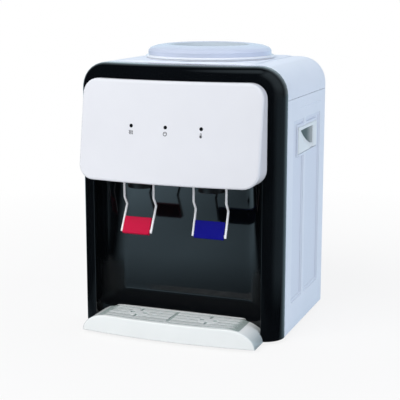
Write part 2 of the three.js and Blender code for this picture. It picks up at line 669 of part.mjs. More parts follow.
function makeBottleSeat() {
  const wall = SEAT_WALL;
  const top = SEAT_Z + SEAT_HEIGHT;
  const neckLow = SEAT_Z - SEAT_NECK_DROP;
  const profile = points(
    [SEAT_NECK_RADIUS, neckLow], [SEAT_NECK_RADIUS + wall, neckLow],
    [SEAT_MOUTH_RADIUS + wall, top - wall - 1.5], [SEAT_MOUTH_RADIUS + 15, top - wall - 2],
    [SEAT_RADIUS - wall - 4, top - 8], [SEAT_RADIUS - wall, top - 12],
    [SEAT_RADIUS - wall, SEAT_Z], [SEAT_FLANGE_RADIUS, SEAT_Z],
    [SEAT_FLANGE_RADIUS, SEAT_Z + SEAT_FLANGE], [SEAT_RADIUS, SEAT_Z + SEAT_FLANGE],
    [SEAT_RADIUS, top - 8],
    [SEAT_RADIUS - 3, top - 4.5], [SEAT_RADIUS - 10, top - 2], [SEAT_MOUTH_RADIUS + 15, top - 0.6],
    [SEAT_MOUTH_RADIUS + 4, top], [SEAT_MOUTH_RADIUS, top - 1.5], [SEAT_NECK_RADIUS, neckLow],
  );
  piece('bottle_seat', turned(profile, 0, SEAT_Y, 28), WHITE_GLOSS);
}

const FEED_PORT = { x: 40, y: SEAT_Y + 30 };
const COLD_PORT = { x: TAP_X, y: SEAT_Y - 32 };

function spigot(x, y, from, to) {
  return rod('z', x, y, SPIGOT_RADIUS, from, to, 12);
}

function spigotBore(x, y, from, to) {
  return rod('z', x, y, SPIGOT_BORE, from, to, 8);
}

function makeReservoir() {
  const outer = RESERVOIR_RADIUS;
  const inner = outer - RESERVOIR_WALL;
  const floor = RESERVOIR_FLOOR;
  const rimTop = RIM_Z + RIM_THICKNESS;
  const profile = points(
    [0, floor], [outer - 6, floor], [outer, floor + 6], [outer, RIM_Z],
    [RIM_RADIUS, RIM_Z], [RIM_RADIUS, rimTop], [inner, rimTop],
    [inner, floor + 7], [inner - 5, floor + RESERVOIR_WALL], [0, floor + RESERVOIR_WALL],
  );
  const ports = [FEED_PORT, COLD_PORT];
  const low = floor - SPIGOT_LENGTH;
  const spigots = ports.map(({ x, y }) => spigot(x, y, low, floor + 1));
  const bores = ports.map(({ x, y }) => spigotBore(x, y, low - 1, floor + RESERVOIR_WALL + 1));
  piece('reservoir', cut(join(turned(profile, 0, SEAT_Y, 32), ...spigots), ...bores), WHITE_GLOSS);
}

// ---- hot tank -----------------------------------------------------------------------------

const TANK_TOP = TANK_FLOOR + TANK_HEIGHT;
const TANK_HOT = { x: -25, y: SEAT_Y - 25 };
const TANK_FEED = { x: 20, y: SEAT_Y + 30 };
const TANK_DRAIN = { x: -15, y: SEAT_Y + 30 };
const BAND_INNER = TANK_RADIUS + 0.6;
const BAND_OUTER = BAND_INNER + BAND.thickness;
const FOAM_INNER = BAND_OUTER + 1;
const FOAM_OUTER = FOAM_INNER + INSULATION_THICKNESS;
const FOAM_LOW = TANK_FLOOR + 3;
const FOAM_HIGH = TANK_TOP - 2;

function makeTank() {
  const shell = (inset) => turned(points(
    [0, TANK_FLOOR + inset], [TANK_RADIUS - 3, TANK_FLOOR + inset],
    [TANK_RADIUS - inset, TANK_FLOOR + 3], [TANK_RADIUS - inset, TANK_TOP - 3],
    [TANK_RADIUS - 3, TANK_TOP - inset], [0, TANK_TOP - inset],
  ), 0, SEAT_Y);
  const low = TANK_FLOOR - SPIGOT_LENGTH;
  const high = TANK_TOP + SPIGOT_LENGTH;
  const spigots = [
    spigot(TANK_HOT.x, TANK_HOT.y, TANK_TOP - 1, high),
    spigot(TANK_FEED.x, TANK_FEED.y, low, TANK_FLOOR + 1),
    spigot(TANK_DRAIN.x, TANK_DRAIN.y, low, TANK_FLOOR + 1),
  ];
  const bores = [
    spigotBore(TANK_HOT.x, TANK_HOT.y, TANK_TOP - 5, high + 1),
    spigotBore(TANK_FEED.x, TANK_FEED.y, low - 1, TANK_FLOOR + 5),
    spigotBore(TANK_DRAIN.x, TANK_DRAIN.y, low - 1, TANK_FLOOR + 5),
  ];
  piece('hot_tank', cut(join(shell(0), ...spigots), shell(TANK_WALL), ...bores), STAINLESS);

  const band = ring(
    BAND_INNER, BAND_OUTER, TANK_FLOOR + BAND.low, TANK_FLOOR + BAND.high, 0, SEAT_Y);
  const slit = box(-BAND_OUTER - 1, 0, SEAT_Y - 3, SEAT_Y + 3, TANK_FLOOR, TANK_TOP);
  piece('heater_band', cut(band, slit), STAINLESS);
}

function makeInsulation() {
  const lip = TANK_RADIUS + 0.6;
  const profile = points(
    [lip, FOAM_LOW], [FOAM_OUTER, FOAM_LOW], [FOAM_OUTER, FOAM_HIGH], [lip, FOAM_HIGH],
    [lip, FOAM_HIGH - 4], [FOAM_INNER, FOAM_HIGH - 4], [FOAM_INNER, FOAM_LOW + 4],
    [lip, FOAM_LOW + 4], [lip, FOAM_LOW],
  );
  const sleeve = solid(turned(profile, 0, SEAT_Y));
  const reach = FOAM_OUTER + 1;
  const half = (from, to) =>
    box(from, to, SEAT_Y - reach, SEAT_Y + reach, FOAM_LOW - 1, FOAM_HIGH + 1);
  const window = box(
    TANK_RADIUS - 5, reach, SEAT_Y - 11, SEAT_Y + 11, THERMOSTAT_Z[0] - 11, THERMOSTAT_Z[1] + 11);
  piece('insulation_left', common(sleeve, half(-reach, -GAP / 2)), FOAM);
  piece('insulation_right', cut(common(sleeve, half(GAP / 2, reach)), window), FOAM);
}

const THERMOSTAT_Z = [TANK_FLOOR + 79, TANK_FLOOR + 99];

function makeThermostats() {
  ['thermostat', 'thermal_cutoff'].forEach((name, i) => {
    const face = TANK_RADIUS + GAP;
    const disc = rod('x', SEAT_Y, THERMOSTAT_Z[i], 8, face, face + 6, 16);
    const cap = rod('x', SEAT_Y, THERMOSTAT_Z[i], 5, face + 5, face + 10, 12);
    piece(name, join(disc, cap), TAP_BLACK);
  });
}

function makeTankBracket() {
  const top = TANK_FLOOR - GAP;
  const t = BRACKET_THICKNESS;
  const leg = TANK_RADIUS + 6;
  const floor = FLOOR_TOP + GAP;
  const outline = points(
    [-leg - 16, floor], [-leg + t, floor], [-leg + t, top - t], [leg - t, top - t],
    [leg - t, floor], [leg + 16, floor], [leg + 16, floor + t], [leg, floor + t],
    [leg, top], [-leg, top], [-leg, floor + t], [-leg - 16, floor + t],
  );
  piece('tank_bracket', prism(outline, 'y', SEAT_Y - 20, SEAT_Y + 20), ZINC);
}

// ---- hoses --------------------------------------------------------------------------------

function makeHoses() {
  const overlap = SPIGOT_LENGTH - 2;
  const up = [0, 0, 1];
  const down = [0, 0, -1];
  const reservoirPort = RESERVOIR_FLOOR - SPIGOT_LENGTH + overlap;
  const tankPort = TANK_FLOOR - SPIGOT_LENGTH + overlap;
  const tapEnd = SHANK_END - 8 + GAP;
  const beside = FOAM_OUTER + 24;
  const underTank = tankPort - HOSE_LEAD;
  piece('feed_hose', hose(
    [[FEED_PORT.x, FEED_PORT.y, reservoirPort], down],
    [
      [FEED_PORT.x + 24, FEED_PORT.y + 2, reservoirPort - 32],
      [beside, FEED_PORT.y + 4, reservoirPort - 60],
      [beside, FEED_PORT.y + 4, TANK_FLOOR + 30],
      [beside - 12, TANK_FEED.y + 3, underTank + 2],
      [TANK_FEED.x + 30, TANK_FEED.y + 1, underTank - 12],
      [TANK_FEED.x + 6, TANK_FEED.y, underTank - 9],
    ],
    [[TANK_FEED.x, TANK_FEED.y, tankPort], down],
  ), SILICONE);
  piece('drain_hose', hose(
    [[TANK_DRAIN.x, TANK_DRAIN.y, tankPort], down],
    [[TANK_DRAIN.x + 3, TANK_DRAIN.y + 5, underTank - 9]],
    [[0, DRAIN_BARREL_END - GAP, DRAIN.z], [0, -1, 0]],
  ), SILICONE);
  piece('hot_hose', hose(
    [[TANK_HOT.x, TANK_HOT.y, TANK_TOP + 2], up],
    [[TANK_HOT.x - 6, TANK_HOT.y - 6, SHANK_Z - 5]],
    [[-TAP_X, tapEnd, SHANK_Z], [0, 1, 0]],
  ), SILICONE);
  piece('cold_hose', hose(
    [[COLD_PORT.x, COLD_PORT.y, reservoirPort], down],
    [[COLD_PORT.x, COLD_PORT.y - 6, SHANK_Z + 7]],
    [[TAP_X, tapEnd, SHANK_Z], [0, 1, 0]],
  ), SILICONE);
}

// ---- taps ---------------------------------------------------------------------------------

class Coil extends THREE.Curve {
  constructor(radius, low, high, turns) {
    super();
    Object.assign(this, { radius, low, high, turns });
  }

  getPoint(t, target = new THREE.Vector3()) {
    const angle = t * this.turns * 2 * Math.PI;
    const z = this.low + (this.high - this.low) * t;
    return target.set(this.radius * Math.cos(angle), this.radius * Math.sin(angle), z);
  }
}

const CHAMBER_FLOOR = TAP_LOW + 12;
const TAP_TOP = TAP_LOW + TAP_HEIGHT;
const BONNET_TOP = TAP_TOP + GAP + 5;
const SHANK_FLANGE = { radius: 13, thickness: 3 };
const GASKET_THICKNESS = 2;

function makeTap(name, x) {
  const reach = SHANK_END - TAP_Y;
  const wallFace = RECESS_BACK - TAP_Y;
  const nutFrom = wallFace + WALL + GAP;
  const nutTo = nutFrom + 8;
  const gasketTo = wallFace - GAP;
  const flangeTo = gasketTo - GASKET_THICKNESS - GAP;
  const place = (node) => node.position.set(x, TAP_Y, 0);

  const barrel = rod('z', 0, 0, TAP_RADIUS, TAP_LOW, TAP_TOP, 24);
  const shank = rod('y', 0, SHANK_Z, SHANK_RADIUS, 10, nutTo + GAP, 16);
  const barb = rod('y', 0, SHANK_Z, SPIGOT_RADIUS, nutTo, reach, 12);
  const flange = rod('y', 0, SHANK_Z, SHANK_FLANGE.radius, flangeTo - SHANK_FLANGE.thickness, flangeTo);
  const chamber = rod('z', 0, 0, CHAMBER_RADIUS, CHAMBER_FLOOR, TAP_TOP + 1, 16);
  const spout = rod('z', 0, 0, SPOUT_RADIUS, TAP_LOW - 1, CHAMBER_FLOOR + 1, 12);
  const foot = rod('z', 0, 0, TAP_RADIUS - 3, TAP_LOW - 1, TAP_LOW + 3, 20);
  const waterway = rod('y', 0, SHANK_Z, SPIGOT_BORE, 5, reach + 1, 8);
  const pivotHoles = [-1, 1].map((side) => {
    const ends = [side * PIVOT.holeEnd, side * (TAP_RADIUS + 1)].sort((a, b) => a - b);
    return rod('x', PIVOT.y - TAP_Y, PIVOT_Z, WIRE_RADIUS + GAP, ...ends, 10);
  });
  const body = cut(join(barrel, shank, barb, flange), chamber, spout, foot, waterway, ...pivotHoles);
  place(piece(`${name}_tap_body`, body, TAP_BLACK));

  const bonnet = cut(
    rod('z', 0, 0, BONNET_RADIUS, TAP_TOP + GAP, BONNET_TOP, 20),
    rod('z', 0, 0, STEM_RADIUS + GAP, TAP_TOP - 1, BONNET_TOP + 1, 12));
  place(piece(`${name}_tap_bonnet`, bonnet, TAP_BLACK));

  const plungerTop = CHAMBER_FLOOR + GAP + 4;
  const stem = join(
    rod('z', 0, 0, PLUNGER_RADIUS, CHAMBER_FLOOR + GAP, plungerTop, 16),
    rod('z', 0, 0, STEM_RADIUS, plungerTop - 1, BONNET_TOP + 3, 12));
  place(piece(`${name}_valve_stem`, stem, SILICONE));

  const coil = new Coil(5.5, plungerTop + GAP + 0.6, TAP_TOP - 0.6, 4);
  const section = new THREE.Shape(circle(0, 0, 0.6, 5));
  const spring = new THREE.ExtrudeGeometry(section, { steps: 40, bevelEnabled: false, extrudePath: coil });
  place(piece(`${name}_tap_spring`, spring, SPRING_STEEL));

  const gasket = cut(
    rod('y', 0, SHANK_Z, SHANK_FLANGE.radius, gasketTo - GASKET_THICKNESS, gasketTo),
    rod('y', 0, SHANK_Z, SHANK_RADIUS + GAP, 0, 60));
  place(piece(`${name}_tap_gasket`, gasket, SILICONE));

  const nut = cut(
    rod('y', 0, SHANK_Z, 14, nutFrom, nutTo, 6),
    rod('y', 0, SHANK_Z, SHANK_RADIUS + GAP, 0, 90));
  place(piece(`${name}_tap_nut`, nut, TAP_BLACK));
}

// A straight of the lever wire, a little long so that it fills the bends at its ends.
function wireBetween(from, to) {
  const a = new THREE.Vector3(...from);
  const b = new THREE.Vector3(...to);
  const length = a.distanceTo(b) + WIRE_RADIUS;
  const along = b.clone().sub(a).normalize();
  const geometry = new THREE.CylinderGeometry(WIRE_RADIUS, WIRE_RADIUS, length, WIRE_SIDES);
  geometry.applyQuaternion(new THREE.Quaternion().setFromUnitVectors(new THREE.Vector3(0, 1, 0), along));
  const middle = a.add(b).multiplyScalar(0.5);
  return geometry.translate(middle.x, middle.y, middle.z);
}

function makeLever(name, x, { spacing, footY }, paddleFinish) {
  const arm = spacing / 2;
  const footZ = TAP_LOW - LEVER_DROP;
  const kneeZ = TAP_LOW - LEVER_KNEE.drop;
  const armPoints = (side) => [
    [x + side * PIVOT.stubEnd, PIVOT.y, PIVOT_Z],
    [x + side * arm, PIVOT.y, PIVOT_Z],
    [x + side * arm, PIVOT.y, TAP_LOW + LEVER_SHOULDER_RISE],
    [x + side * arm, LEVER_KNEE.y, kneeZ],
    [x + side * arm, footY, footZ],
  ];
  const route = [...armPoints(-1), ...armPoints(1).reverse()];
  const straights = route.slice(1).map((point, i) => wireBetween(route[i], point));
  piece(`${name}_lever`, join(...straights), WIRE_WHITE);

  const lean = Math.atan2(LEVER_KNEE.y - footY, kneeZ - footZ);
  const half = arm - WIRE_RADIUS - GAP;
  const low = -WIRE_RADIUS - GAP - 1.2;
  const thick = PADDLE.thickness / 2;
  const groove = WIRE_RADIUS + GAP;
  const plate = box(-half, half, -thick, thick, low, low + PADDLE.height);
  const channel = box(-half - 1, half + 1, -groove, thick + 1, -groove, groove);
  const paddle = piece(`${name}_paddle`, cut(plate, channel), paddleFinish);
  paddle.rotation.x = -lean;
  paddle.position.set(x, footY, footZ);
}

// ---- drip tray ----------------------------------------------------------------------------

const TRAY_ARC = bowRadius(TRAY_HALF, TRAY_BOW);
const TRAY_FRONT = -TRAY_PROUD - TRAY_BOW;

function makeTray() {
  const loaf = prism(
    roundedRectangle(-TRAY_HALF, BASE - 40, TRAY_HALF, TRAY_TOP, TRAY_HEIGHT, 1, 6),
    'y', TRAY_FRONT - 5, TRAY_BACK);
  const innerHalf = OPENING_HALF - GAP;
  const shoulder = bezelFrontY(OPENING_HALF) - 1.2;
  const plan = [
    ...bowedOutline(TRAY_FRONT, TRAY_ARC, TRAY_HALF, shoulder).slice(0, -1),
    ...points(
      [innerHalf, shoulder], [innerHalf, TRAY_BACK], [-innerHalf, TRAY_BACK],
      [-innerHalf, shoulder], [-TRAY_HALF, shoulder],
    ),
  ];
  const block = common(loaf, prism(plan, 'z', BASE, TRAY_TOP + 1));
  const overBase = box(-HALF, HALF, TONGUE_FRONT - GAP, TRAY_BACK + 1, 0, FLOOR_TOP + GAP);
  const grilleSeat = prism(
    grilleOutline(GAP), 'z', TRAY_TOP - GRILLE_THICKNESS - GAP, TRAY_TOP + 1);
  const basin = prism(grilleOutline(-4), 'z', FLOOR_TOP + GAP + TRAY_WALL, TRAY_TOP + 1);
  piece('drip_tray', cut(block, overBase, grilleSeat, basin), WHITE_GLOSS);
}

function grilleOutline(grow) {
  const front = TRAY_FRONT + GRILLE_EDGE - grow;
  return bowedOutline(front, TRAY_ARC, GRILLE_HALF + grow, TRAY_BACK - GRILLE_EDGE + grow, 10);
}

function makeGrille() {
  const low = TRAY_TOP - GRILLE_THICKNESS;
  const plate = prism(grilleOutline(0), 'z', low, TRAY_TOP);
  const first = TRAY_FRONT + GRILLE_EDGE + TRAY_BOW + 2;
  const last = TRAY_BACK - GRILLE_EDGE - SLOT_WIDTH - 2;
  const slots = [];
  for (let row = 0; row < GRILLE_ROWS; row += 1) {
    const y = first + (last - first) * row / (GRILLE_ROWS - 1);
    slots.push(box(-GRILLE_HALF + 5, -2, y, y + SLOT_WIDTH, low - 1, TRAY_TOP + 1));
    slots.push(box(2, GRILLE_HALF - 5, y, y + SLOT_WIDTH, low - 1, TRAY_TOP + 1));
  }
  const middle = (first + last + SLOT_WIDTH) / 2;
  const targets = [-1, 1].map((side) =>
    rod('z', side * TAP_X, middle, TARGET_RADIUS, low, TRAY_TOP, 16));
  const holes = [-1, 1].flatMap((side) => [0, 1, 2, 3].map((i) => {
    const angle = Math.PI / 4 + i * Math.PI / 2;
    const x = side * TAP_X + 8 * Math.cos(angle);
    return rod('z', x, middle + 8 * Math.sin(angle), 3.5, low - 1, TRAY_TOP + 1, 8);
  }));
  piece('drip_grille', cut(join(cut(plate, ...slots), ...targets), ...holes), WHITE_GLOSS);
}

// ---- rear fittings ------------------------------------------------------------------------

function makeSwitch() {
  const { x, z, width, height } = SWITCH;
  const halfW = width / 2;
  const halfH = height / 2;
  const centred = (w, h, from, to) => box(x - w, x + w, from, to, z - h, z + h);
  const flange = centred(halfW + 1, halfH + 1, REAR_FACE + GAP, REAR_FACE + 2);
  const body = centred(halfW - GAP, halfH - GAP, REAR_FACE - SWITCH.depth, REAR_FACE + 1);
  const pocket = centred(halfW - 1.6, halfH - 0.9, REAR_FACE - SWITCH.depth + 2, REAR_FACE + 3);
  piece('switch_housing', cut(join(flange, body), pocket), TAP_BLACK);

  const pivotY = REAR_FACE - 4;
  const reach = halfW - 1.6 - GAP;
  const rocker = piece('switch_rocker', prism(points(
    [-3, -7.2], [6.5, -7.2], [7.2, -6.4], [6.2, 0], [7.2, 6.4], [6.5, 7.2], [-3, 7.2],
  ), 'x', -reach, reach), RED);
  rocker.rotation.x = THREE.MathUtils.degToRad(SWITCH.rest);
  rocker.position.set(x, pivotY, z);
}

function makeDrain() {
  const { z, radius } = DRAIN;
  const outer = BACK + REAR_PROUD;
  const barrel = rod('y', 0, z, radius, DRAIN_BARREL_END, outer - DRAIN.capWall);
  const barb = rod('y', 0, z, SPIGOT_RADIUS, DRAIN_BARREL_END - 7, DRAIN_BARREL_END + 1, 12);
  const flange = rod('y', 0, z, DRAIN.flange, REAR_FACE + GAP, REAR_FACE + 2);
  const bore = rod('y', 0, z, SPIGOT_BORE, DRAIN_BARREL_END - 8, outer, 8);
  piece('drain_spout', cut(join(barrel, barb, flange), bore), WHITE_GLOSS);

  const nutTo = REAR_FACE - WALL - GAP;
  const nut = cut(
    rod('y', 0, z, DRAIN.nut, nutTo - DRAIN.nutDepth, nutTo, 6),
    rod('y', 0, z, radius + GAP, nutTo - DRAIN.nutDepth - 1, nutTo + 1));
  piece('drain_nut', nut, WHITE_GLOSS);

  const cap = cut(
    rod('y', 0, z, DRAIN.cap, REAR_FACE + 2 + GAP, outer),
    rod('y', 0, z, radius + GAP, REAR_FACE, outer - DRAIN.capWall + GAP));
  piece('drain_cap', cap, RED);
}

function makeGland() {
  const { x, z } = GLAND;
  const flange = rod('y', x, z, GLAND.flange, REAR_FACE + GAP, REAR_FACE + 2.5);
  const barrel = rod('y', x, z, GLAND.radius, REAR_FACE - 8, REAR_FACE + 1);
  const bore = rod('y', x, z, GLAND.bore, REAR_FACE - 9, REAR_FACE + 4, 12);
  piece('cord_gland', cut(join(flange, barrel), bore), RUBBER);
}

function makeTerminalBlock() {
  const { from, to, rear, depth, height, pitch, slot } = TERMINALS;
  const low = FLOOR_TOP + GAP;
  const [near, far] = [BACK - rear - depth, BACK - rear];
  const block = box(from, to, near, far, low, low + height);
  const slots = [0, 1, 2].map((i) => {
    const x = from + 4 + i * pitch;
    return box(x, x + slot, near - 1, far + 1, low + 8, low + height + 1);
  });
  piece('terminal_block', cut(block, ...slots), WHITE_GLOSS);
}

// ---- assembly -----------------------------------------------------------------------------

makeBase();
FOOT_PLACES.forEach(makeFoot);
piece('right_side_panel', sidePanelShape(), SHELL_WHITE);
piece('left_side_panel', mirrored(sidePanelShape()), SHELL_WHITE);
piece('right_handle_cup', handleCupShape(), SHELL_WHITE);
piece('left_handle_cup', mirrored(handleCupShape()), SHELL_WHITE);
makeTopCover();
makeRearPanel();
makeScrew(-1, SCREW_Z[0], 'rear_screw_low_left');
makeScrew(1, SCREW_Z[0], 'rear_screw_low_right');
makeScrew(-1, SCREW_Z[1], 'rear_screw_top_left');
makeScrew(1, SCREW_Z[1], 'rear_screw_top_right');
makeBezel();
makeFrontPanel();
LAMPS.forEach(makeLamp);
makeLampBoard();
makeBottleSeat();
makeReservoir();
makeTank();
makeInsulation();
makeThermostats();
makeTankBracket();
makeHoses();
makeTap('hot', -TAP_X);
makeTap('cold', TAP_X);
makeLever('hot', -TAP_X, HOT_LEVER, RED);
makeLever('cold', TAP_X, COLD_LEVER, BLUE);
makeTray();
makeGrille();
makeSwitch();
makeDrain();
makeGland();
makeTerminalBlock();

dispenser.position.y = -DEPTH_MIDDLE;

export default dispenser;
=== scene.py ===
"""Looks of the countertop water dispenser: its shells, taps, levers, tray, rear fittings and studio.

Shapes are worked out in millimetres, in the frame's own axes, and written to the meshes in metres.
"""

import json
import math

import bmesh
import bpy
from mathutils import Matrix, Vector


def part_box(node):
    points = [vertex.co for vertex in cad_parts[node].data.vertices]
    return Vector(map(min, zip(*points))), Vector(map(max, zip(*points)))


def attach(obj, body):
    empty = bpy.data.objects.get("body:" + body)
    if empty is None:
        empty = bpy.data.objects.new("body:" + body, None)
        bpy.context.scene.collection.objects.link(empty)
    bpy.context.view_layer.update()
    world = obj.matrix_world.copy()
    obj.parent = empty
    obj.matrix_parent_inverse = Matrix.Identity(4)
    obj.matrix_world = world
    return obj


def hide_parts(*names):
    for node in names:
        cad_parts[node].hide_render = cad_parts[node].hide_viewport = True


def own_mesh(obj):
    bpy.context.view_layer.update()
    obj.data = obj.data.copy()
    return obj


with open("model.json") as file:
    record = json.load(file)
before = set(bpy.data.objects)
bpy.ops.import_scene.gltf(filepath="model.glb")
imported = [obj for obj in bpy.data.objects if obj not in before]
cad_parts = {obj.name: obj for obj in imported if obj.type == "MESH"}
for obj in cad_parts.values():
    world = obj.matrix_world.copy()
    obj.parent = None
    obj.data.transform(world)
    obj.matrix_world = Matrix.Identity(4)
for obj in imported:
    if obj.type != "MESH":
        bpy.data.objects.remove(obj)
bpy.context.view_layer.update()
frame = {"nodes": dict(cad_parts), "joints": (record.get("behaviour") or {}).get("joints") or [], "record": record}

MM = 0.001
SLOT_OF = {part["node"]: part["material_slot"] for part in frame["record"]["subparts"]}
BODIES = frame["record"]["behaviour"]["bodies"]
BODY_OF = {node: body for body, nodes in BODIES.items() for node in nodes}


def corners(node):
    """Lowest and highest corner of a node of the frame, in millimetres."""
    low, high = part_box(node)
    return low / MM, high / MM


# ---- camera -------------------------------------------------------------------------------


def look(place, yaw, pitch, lens):
    """A camera at a place in metres, turned from +Y by yaw to the left and by pitch downwards."""
    data = bpy.data.cameras.new("camera")
    data.lens = lens
    data.clip_end = 50
    camera = bpy.data.objects.new("camera", data)
    camera.location = place
    camera.rotation_euler = (math.radians(90 - pitch), 0, math.radians(yaw))
    bpy.context.scene.collection.objects.link(camera)
    bpy.context.scene.camera = camera


look((0.5149, -1.3535, 0.4575), yaw=20.85, pitch=11.45, lens=97.4)


# ---- shapes -------------------------------------------------------------------------------


def arc(cx, cy, radius, start, end, steps):
    """Points along an arc, with its ends in degrees."""
    angles = [math.radians(start + (end - start) * k / steps) for k in range(steps + 1)]
    return [(cx + radius * math.cos(a), cy + radius * math.sin(a)) for a in angles]


def quarter(radius, steps):
    """How far a quarter round has come in from the side, and how far it is below its top."""
    turns = [math.radians(90 * k / steps) for k in range(steps + 1)]
    return [(radius * (1 - math.cos(a)), radius * (1 - math.sin(a))) for a in turns]


def mix(a, b, share):
    return a + (b - a) * share


def ease(value, start=0.0, end=1.0):
    """0 before start, 1 after end, and a smooth slope between them."""
    share = min(1.0, max(0.0, (value - start) / (end - start)))
    return share * share * (3 - 2 * share)


def spaced(start, end, count):
    """Evenly spaced values: both ends, and count steps between them."""
    return [mix(start, end, k / count) for k in range(count + 1)]


def bowed(x, half_width, bow):
    """How far a bowed face falls back from its middle at x."""
    radius = (half_width**2 + bow**2) / (2 * bow)
    return radius - math.sqrt(radius**2 - x**2)


def softened(points, steps=4, closed=True):
    """A line with its corners rounded. The last number of each point is its corner's radius."""
    line = [Vector(p[:-1]) for p in points]
    count = len(line)
    soft = []
    for k, point in enumerate(line):
        radius = points[k][-1] if closed or 0 < k < count - 1 else 0
        before, after = line[k - 1] - point, line[(k + 1) % count] - point
        if radius <= 0 or before.angle(after) > math.radians(178):
            soft.append(point)
            continue
        reach = radius / math.tan(before.angle(after) / 2)
        reach = min(reach, 0.49 * before.length, 0.49 * after.length)
        start, end = point + before.normalized() * reach, point + after.normalized() * reach
        soft += [start * (1 - t) ** 2 + point * 2 * t * (1 - t) + end * t**2 for t in spaced(0, 1, steps)]
    return soft


def rounded(points, radius, steps=4):
    """A closed line with all its corners rounded alike."""
    return softened([(*p, radius) for p in points], steps)


def skin(rows, closed=False):
    """Faces between neighbouring rows of points. A closed row joins its end to its start."""
    mesh = bmesh.new()
    grid = [[mesh.verts.new(point) for point in row] for row in rows]
    for near, far in zip(grid, grid[1:]):
        count = len(near)
        for i in range(count if closed else count - 1):
            j = (i + 1) % count
            mesh.faces.new((near[i], near[j], far[j], far[i]))
    return mesh


def closed_by_caps(rows):
    """A tube of closed rows with a face over each end."""
    mesh = skin(rows, closed=True)
    mesh.verts.ensure_lookup_table()
    count = len(rows[0])
    mesh.faces.new(mesh.verts[:count])
    mesh.faces.new(reversed(mesh.verts[-count:]))
    return mesh


def merge(mesh, other):
    """Adds the second mesh to the first."""
    kept = bpy.data.meshes.new("kept")
    other.to_mesh(kept)
    other.free()
    mesh.from_mesh(kept)
    bpy.data.meshes.remove(kept)
    return mesh


AXES = {
    "x": Matrix(((0, 0, 1, 0), (1, 0, 0, 0), (0, 1, 0, 0), (0, 0, 0, 1))),
    "y": Matrix(((1, 0, 0, 0), (0, 0, 1, 0), (0, 1, 0, 0), (0, 0, 0, 1))),
    "z": Matrix.Identity(4),
}


def turned(outline, centre=(0, 0, 0), axis="z", sides=64, steps=3):
    """An outline of (radius, height, corner radius) turned about an axis through the centre.

    It is closed into a ring, unless it starts on the axis."""
    ring = outline[0][0] > 0
    rows = [[(x, y, height) for x, y in arc(0, 0, radius, 0, 360, sides)[:-1]]
            for radius, height in softened(outline, steps, ring)]
    mesh = skin(rows + rows[:1] if ring else rows, closed=True)
    mesh.transform(Matrix.Translation(centre) @ AXES[axis])
    return mesh


def rod(centre, axis, radius, low, high, edge, sides):
    """A round bar along an axis through a centre."""
    outline = [(0, low, 0), (radius, low, edge), (radius, high, edge), (0, high, 0)]
    return turned(outline, centre, axis, sides)


def block(low, high, edge=0.0, steps=2):
    """A box between two corners with its edges rounded."""
    mesh = bmesh.new()
    bmesh.ops.create_cube(mesh, size=1)
    low, high = Vector(low), Vector(high)
    mesh.transform(Matrix.Translation((low + high) / 2) @ Matrix.Diagonal((*(high - low), 1)))
    if edge:
        bmesh.ops.bevel(mesh, geom=mesh.edges[:], offset=edge, segments=steps, affect="EDGES", profile=0.5)
    return mesh


def plate(outline, low, high, edge=0.0, steps=2, axis="z"):
    """A flat outline with a thickness and softened rims."""
    points = [Vector(p) for p in outline]
    count = len(points)
    if sum(points[k - 1].cross(points[k]) for k in range(count)) < 0:
        points.reverse()
    inward = []
    for k, point in enumerate(points):
        before = (point - points[k - 1]).normalized().orthogonal()
        after = (points[(k + 1) % count] - point).normalized().orthogonal()
        normal = (before + after).normalized()
        inward.append(normal / max(0.5, normal.dot(before)))
    rim = quarter(edge, steps)
    levels = [(inset, low + deep) for inset, deep in reversed(rim)]
    levels += [(inset, high - deep) for inset, deep in rim]
    rows = [[(*(p + n * inset), height) for p, n in zip(points, inward)] for inset, height in levels]
    mesh = closed_by_caps(rows)
    mesh.transform(AXES[axis])
    return mesh


def tube(line, radius, sides=16):
    """A round bar along a line of points, with slightly rounded blunt ends."""
    line = [Vector(p) for p in line]
    last = len(line) - 1
    blunt = [(0.7, 0), (0.93, 0.07), (1, 0.3)]
    ends = {0: blunt, last: [(share, -shift) for share, shift in reversed(blunt)]}
    side = (line[1] - line[0]).orthogonal().normalized()
    rows = []
    for k, point in enumerate(line):
        way = (line[min(k + 1, last)] - line[max(k - 1, 0)]).normalized()
        side = (side - way * side.dot(way)).normalized()
        other = way.cross(side)
        for share, shift in ends.get(k, [(1, 0)]):
            turn = arc(0, 0, radius * share, 0, 360, sides)[:-1]
            rows.append([point + way * shift * radius + side * a + other * b for a, b in turn])
    return closed_by_caps(rows)


def grooved(mesh, centre, axes, rim, depth, count):
    """Cuts shallow grooves round the parts of a turned mesh that lie beyond its rim."""
    first, second = axes
    for v in mesh.verts:
        out = Vector((v.co[first] - centre[0], v.co[second] - centre[1]))
        if out.length > rim:
            wave = (1 + math.cos(count * math.atan2(out.y, out.x))) / 2
            v.co[first] -= out.x * depth * wave
            v.co[second] -= out.y * depth * wave
    return mesh


def evaluated(obj):
    """The object's mesh with its modifiers taken up, which are then removed."""
    graph = bpy.context.evaluated_depsgraph_get()
    final = bpy.data.meshes.new_from_object(obj.evaluated_get(graph), depsgraph=graph)
    obj.modifiers.clear()
    old = obj.data
    obj.data = final
    bpy.data.meshes.remove(old)
    return obj


def changed(obj, kind, **settings):
    """The object with one modifier taken up."""
    change = obj.modifiers.new("change", kind)
    for name, value in settings.items():
        setattr(change, name, value)
    return evaluated(obj)


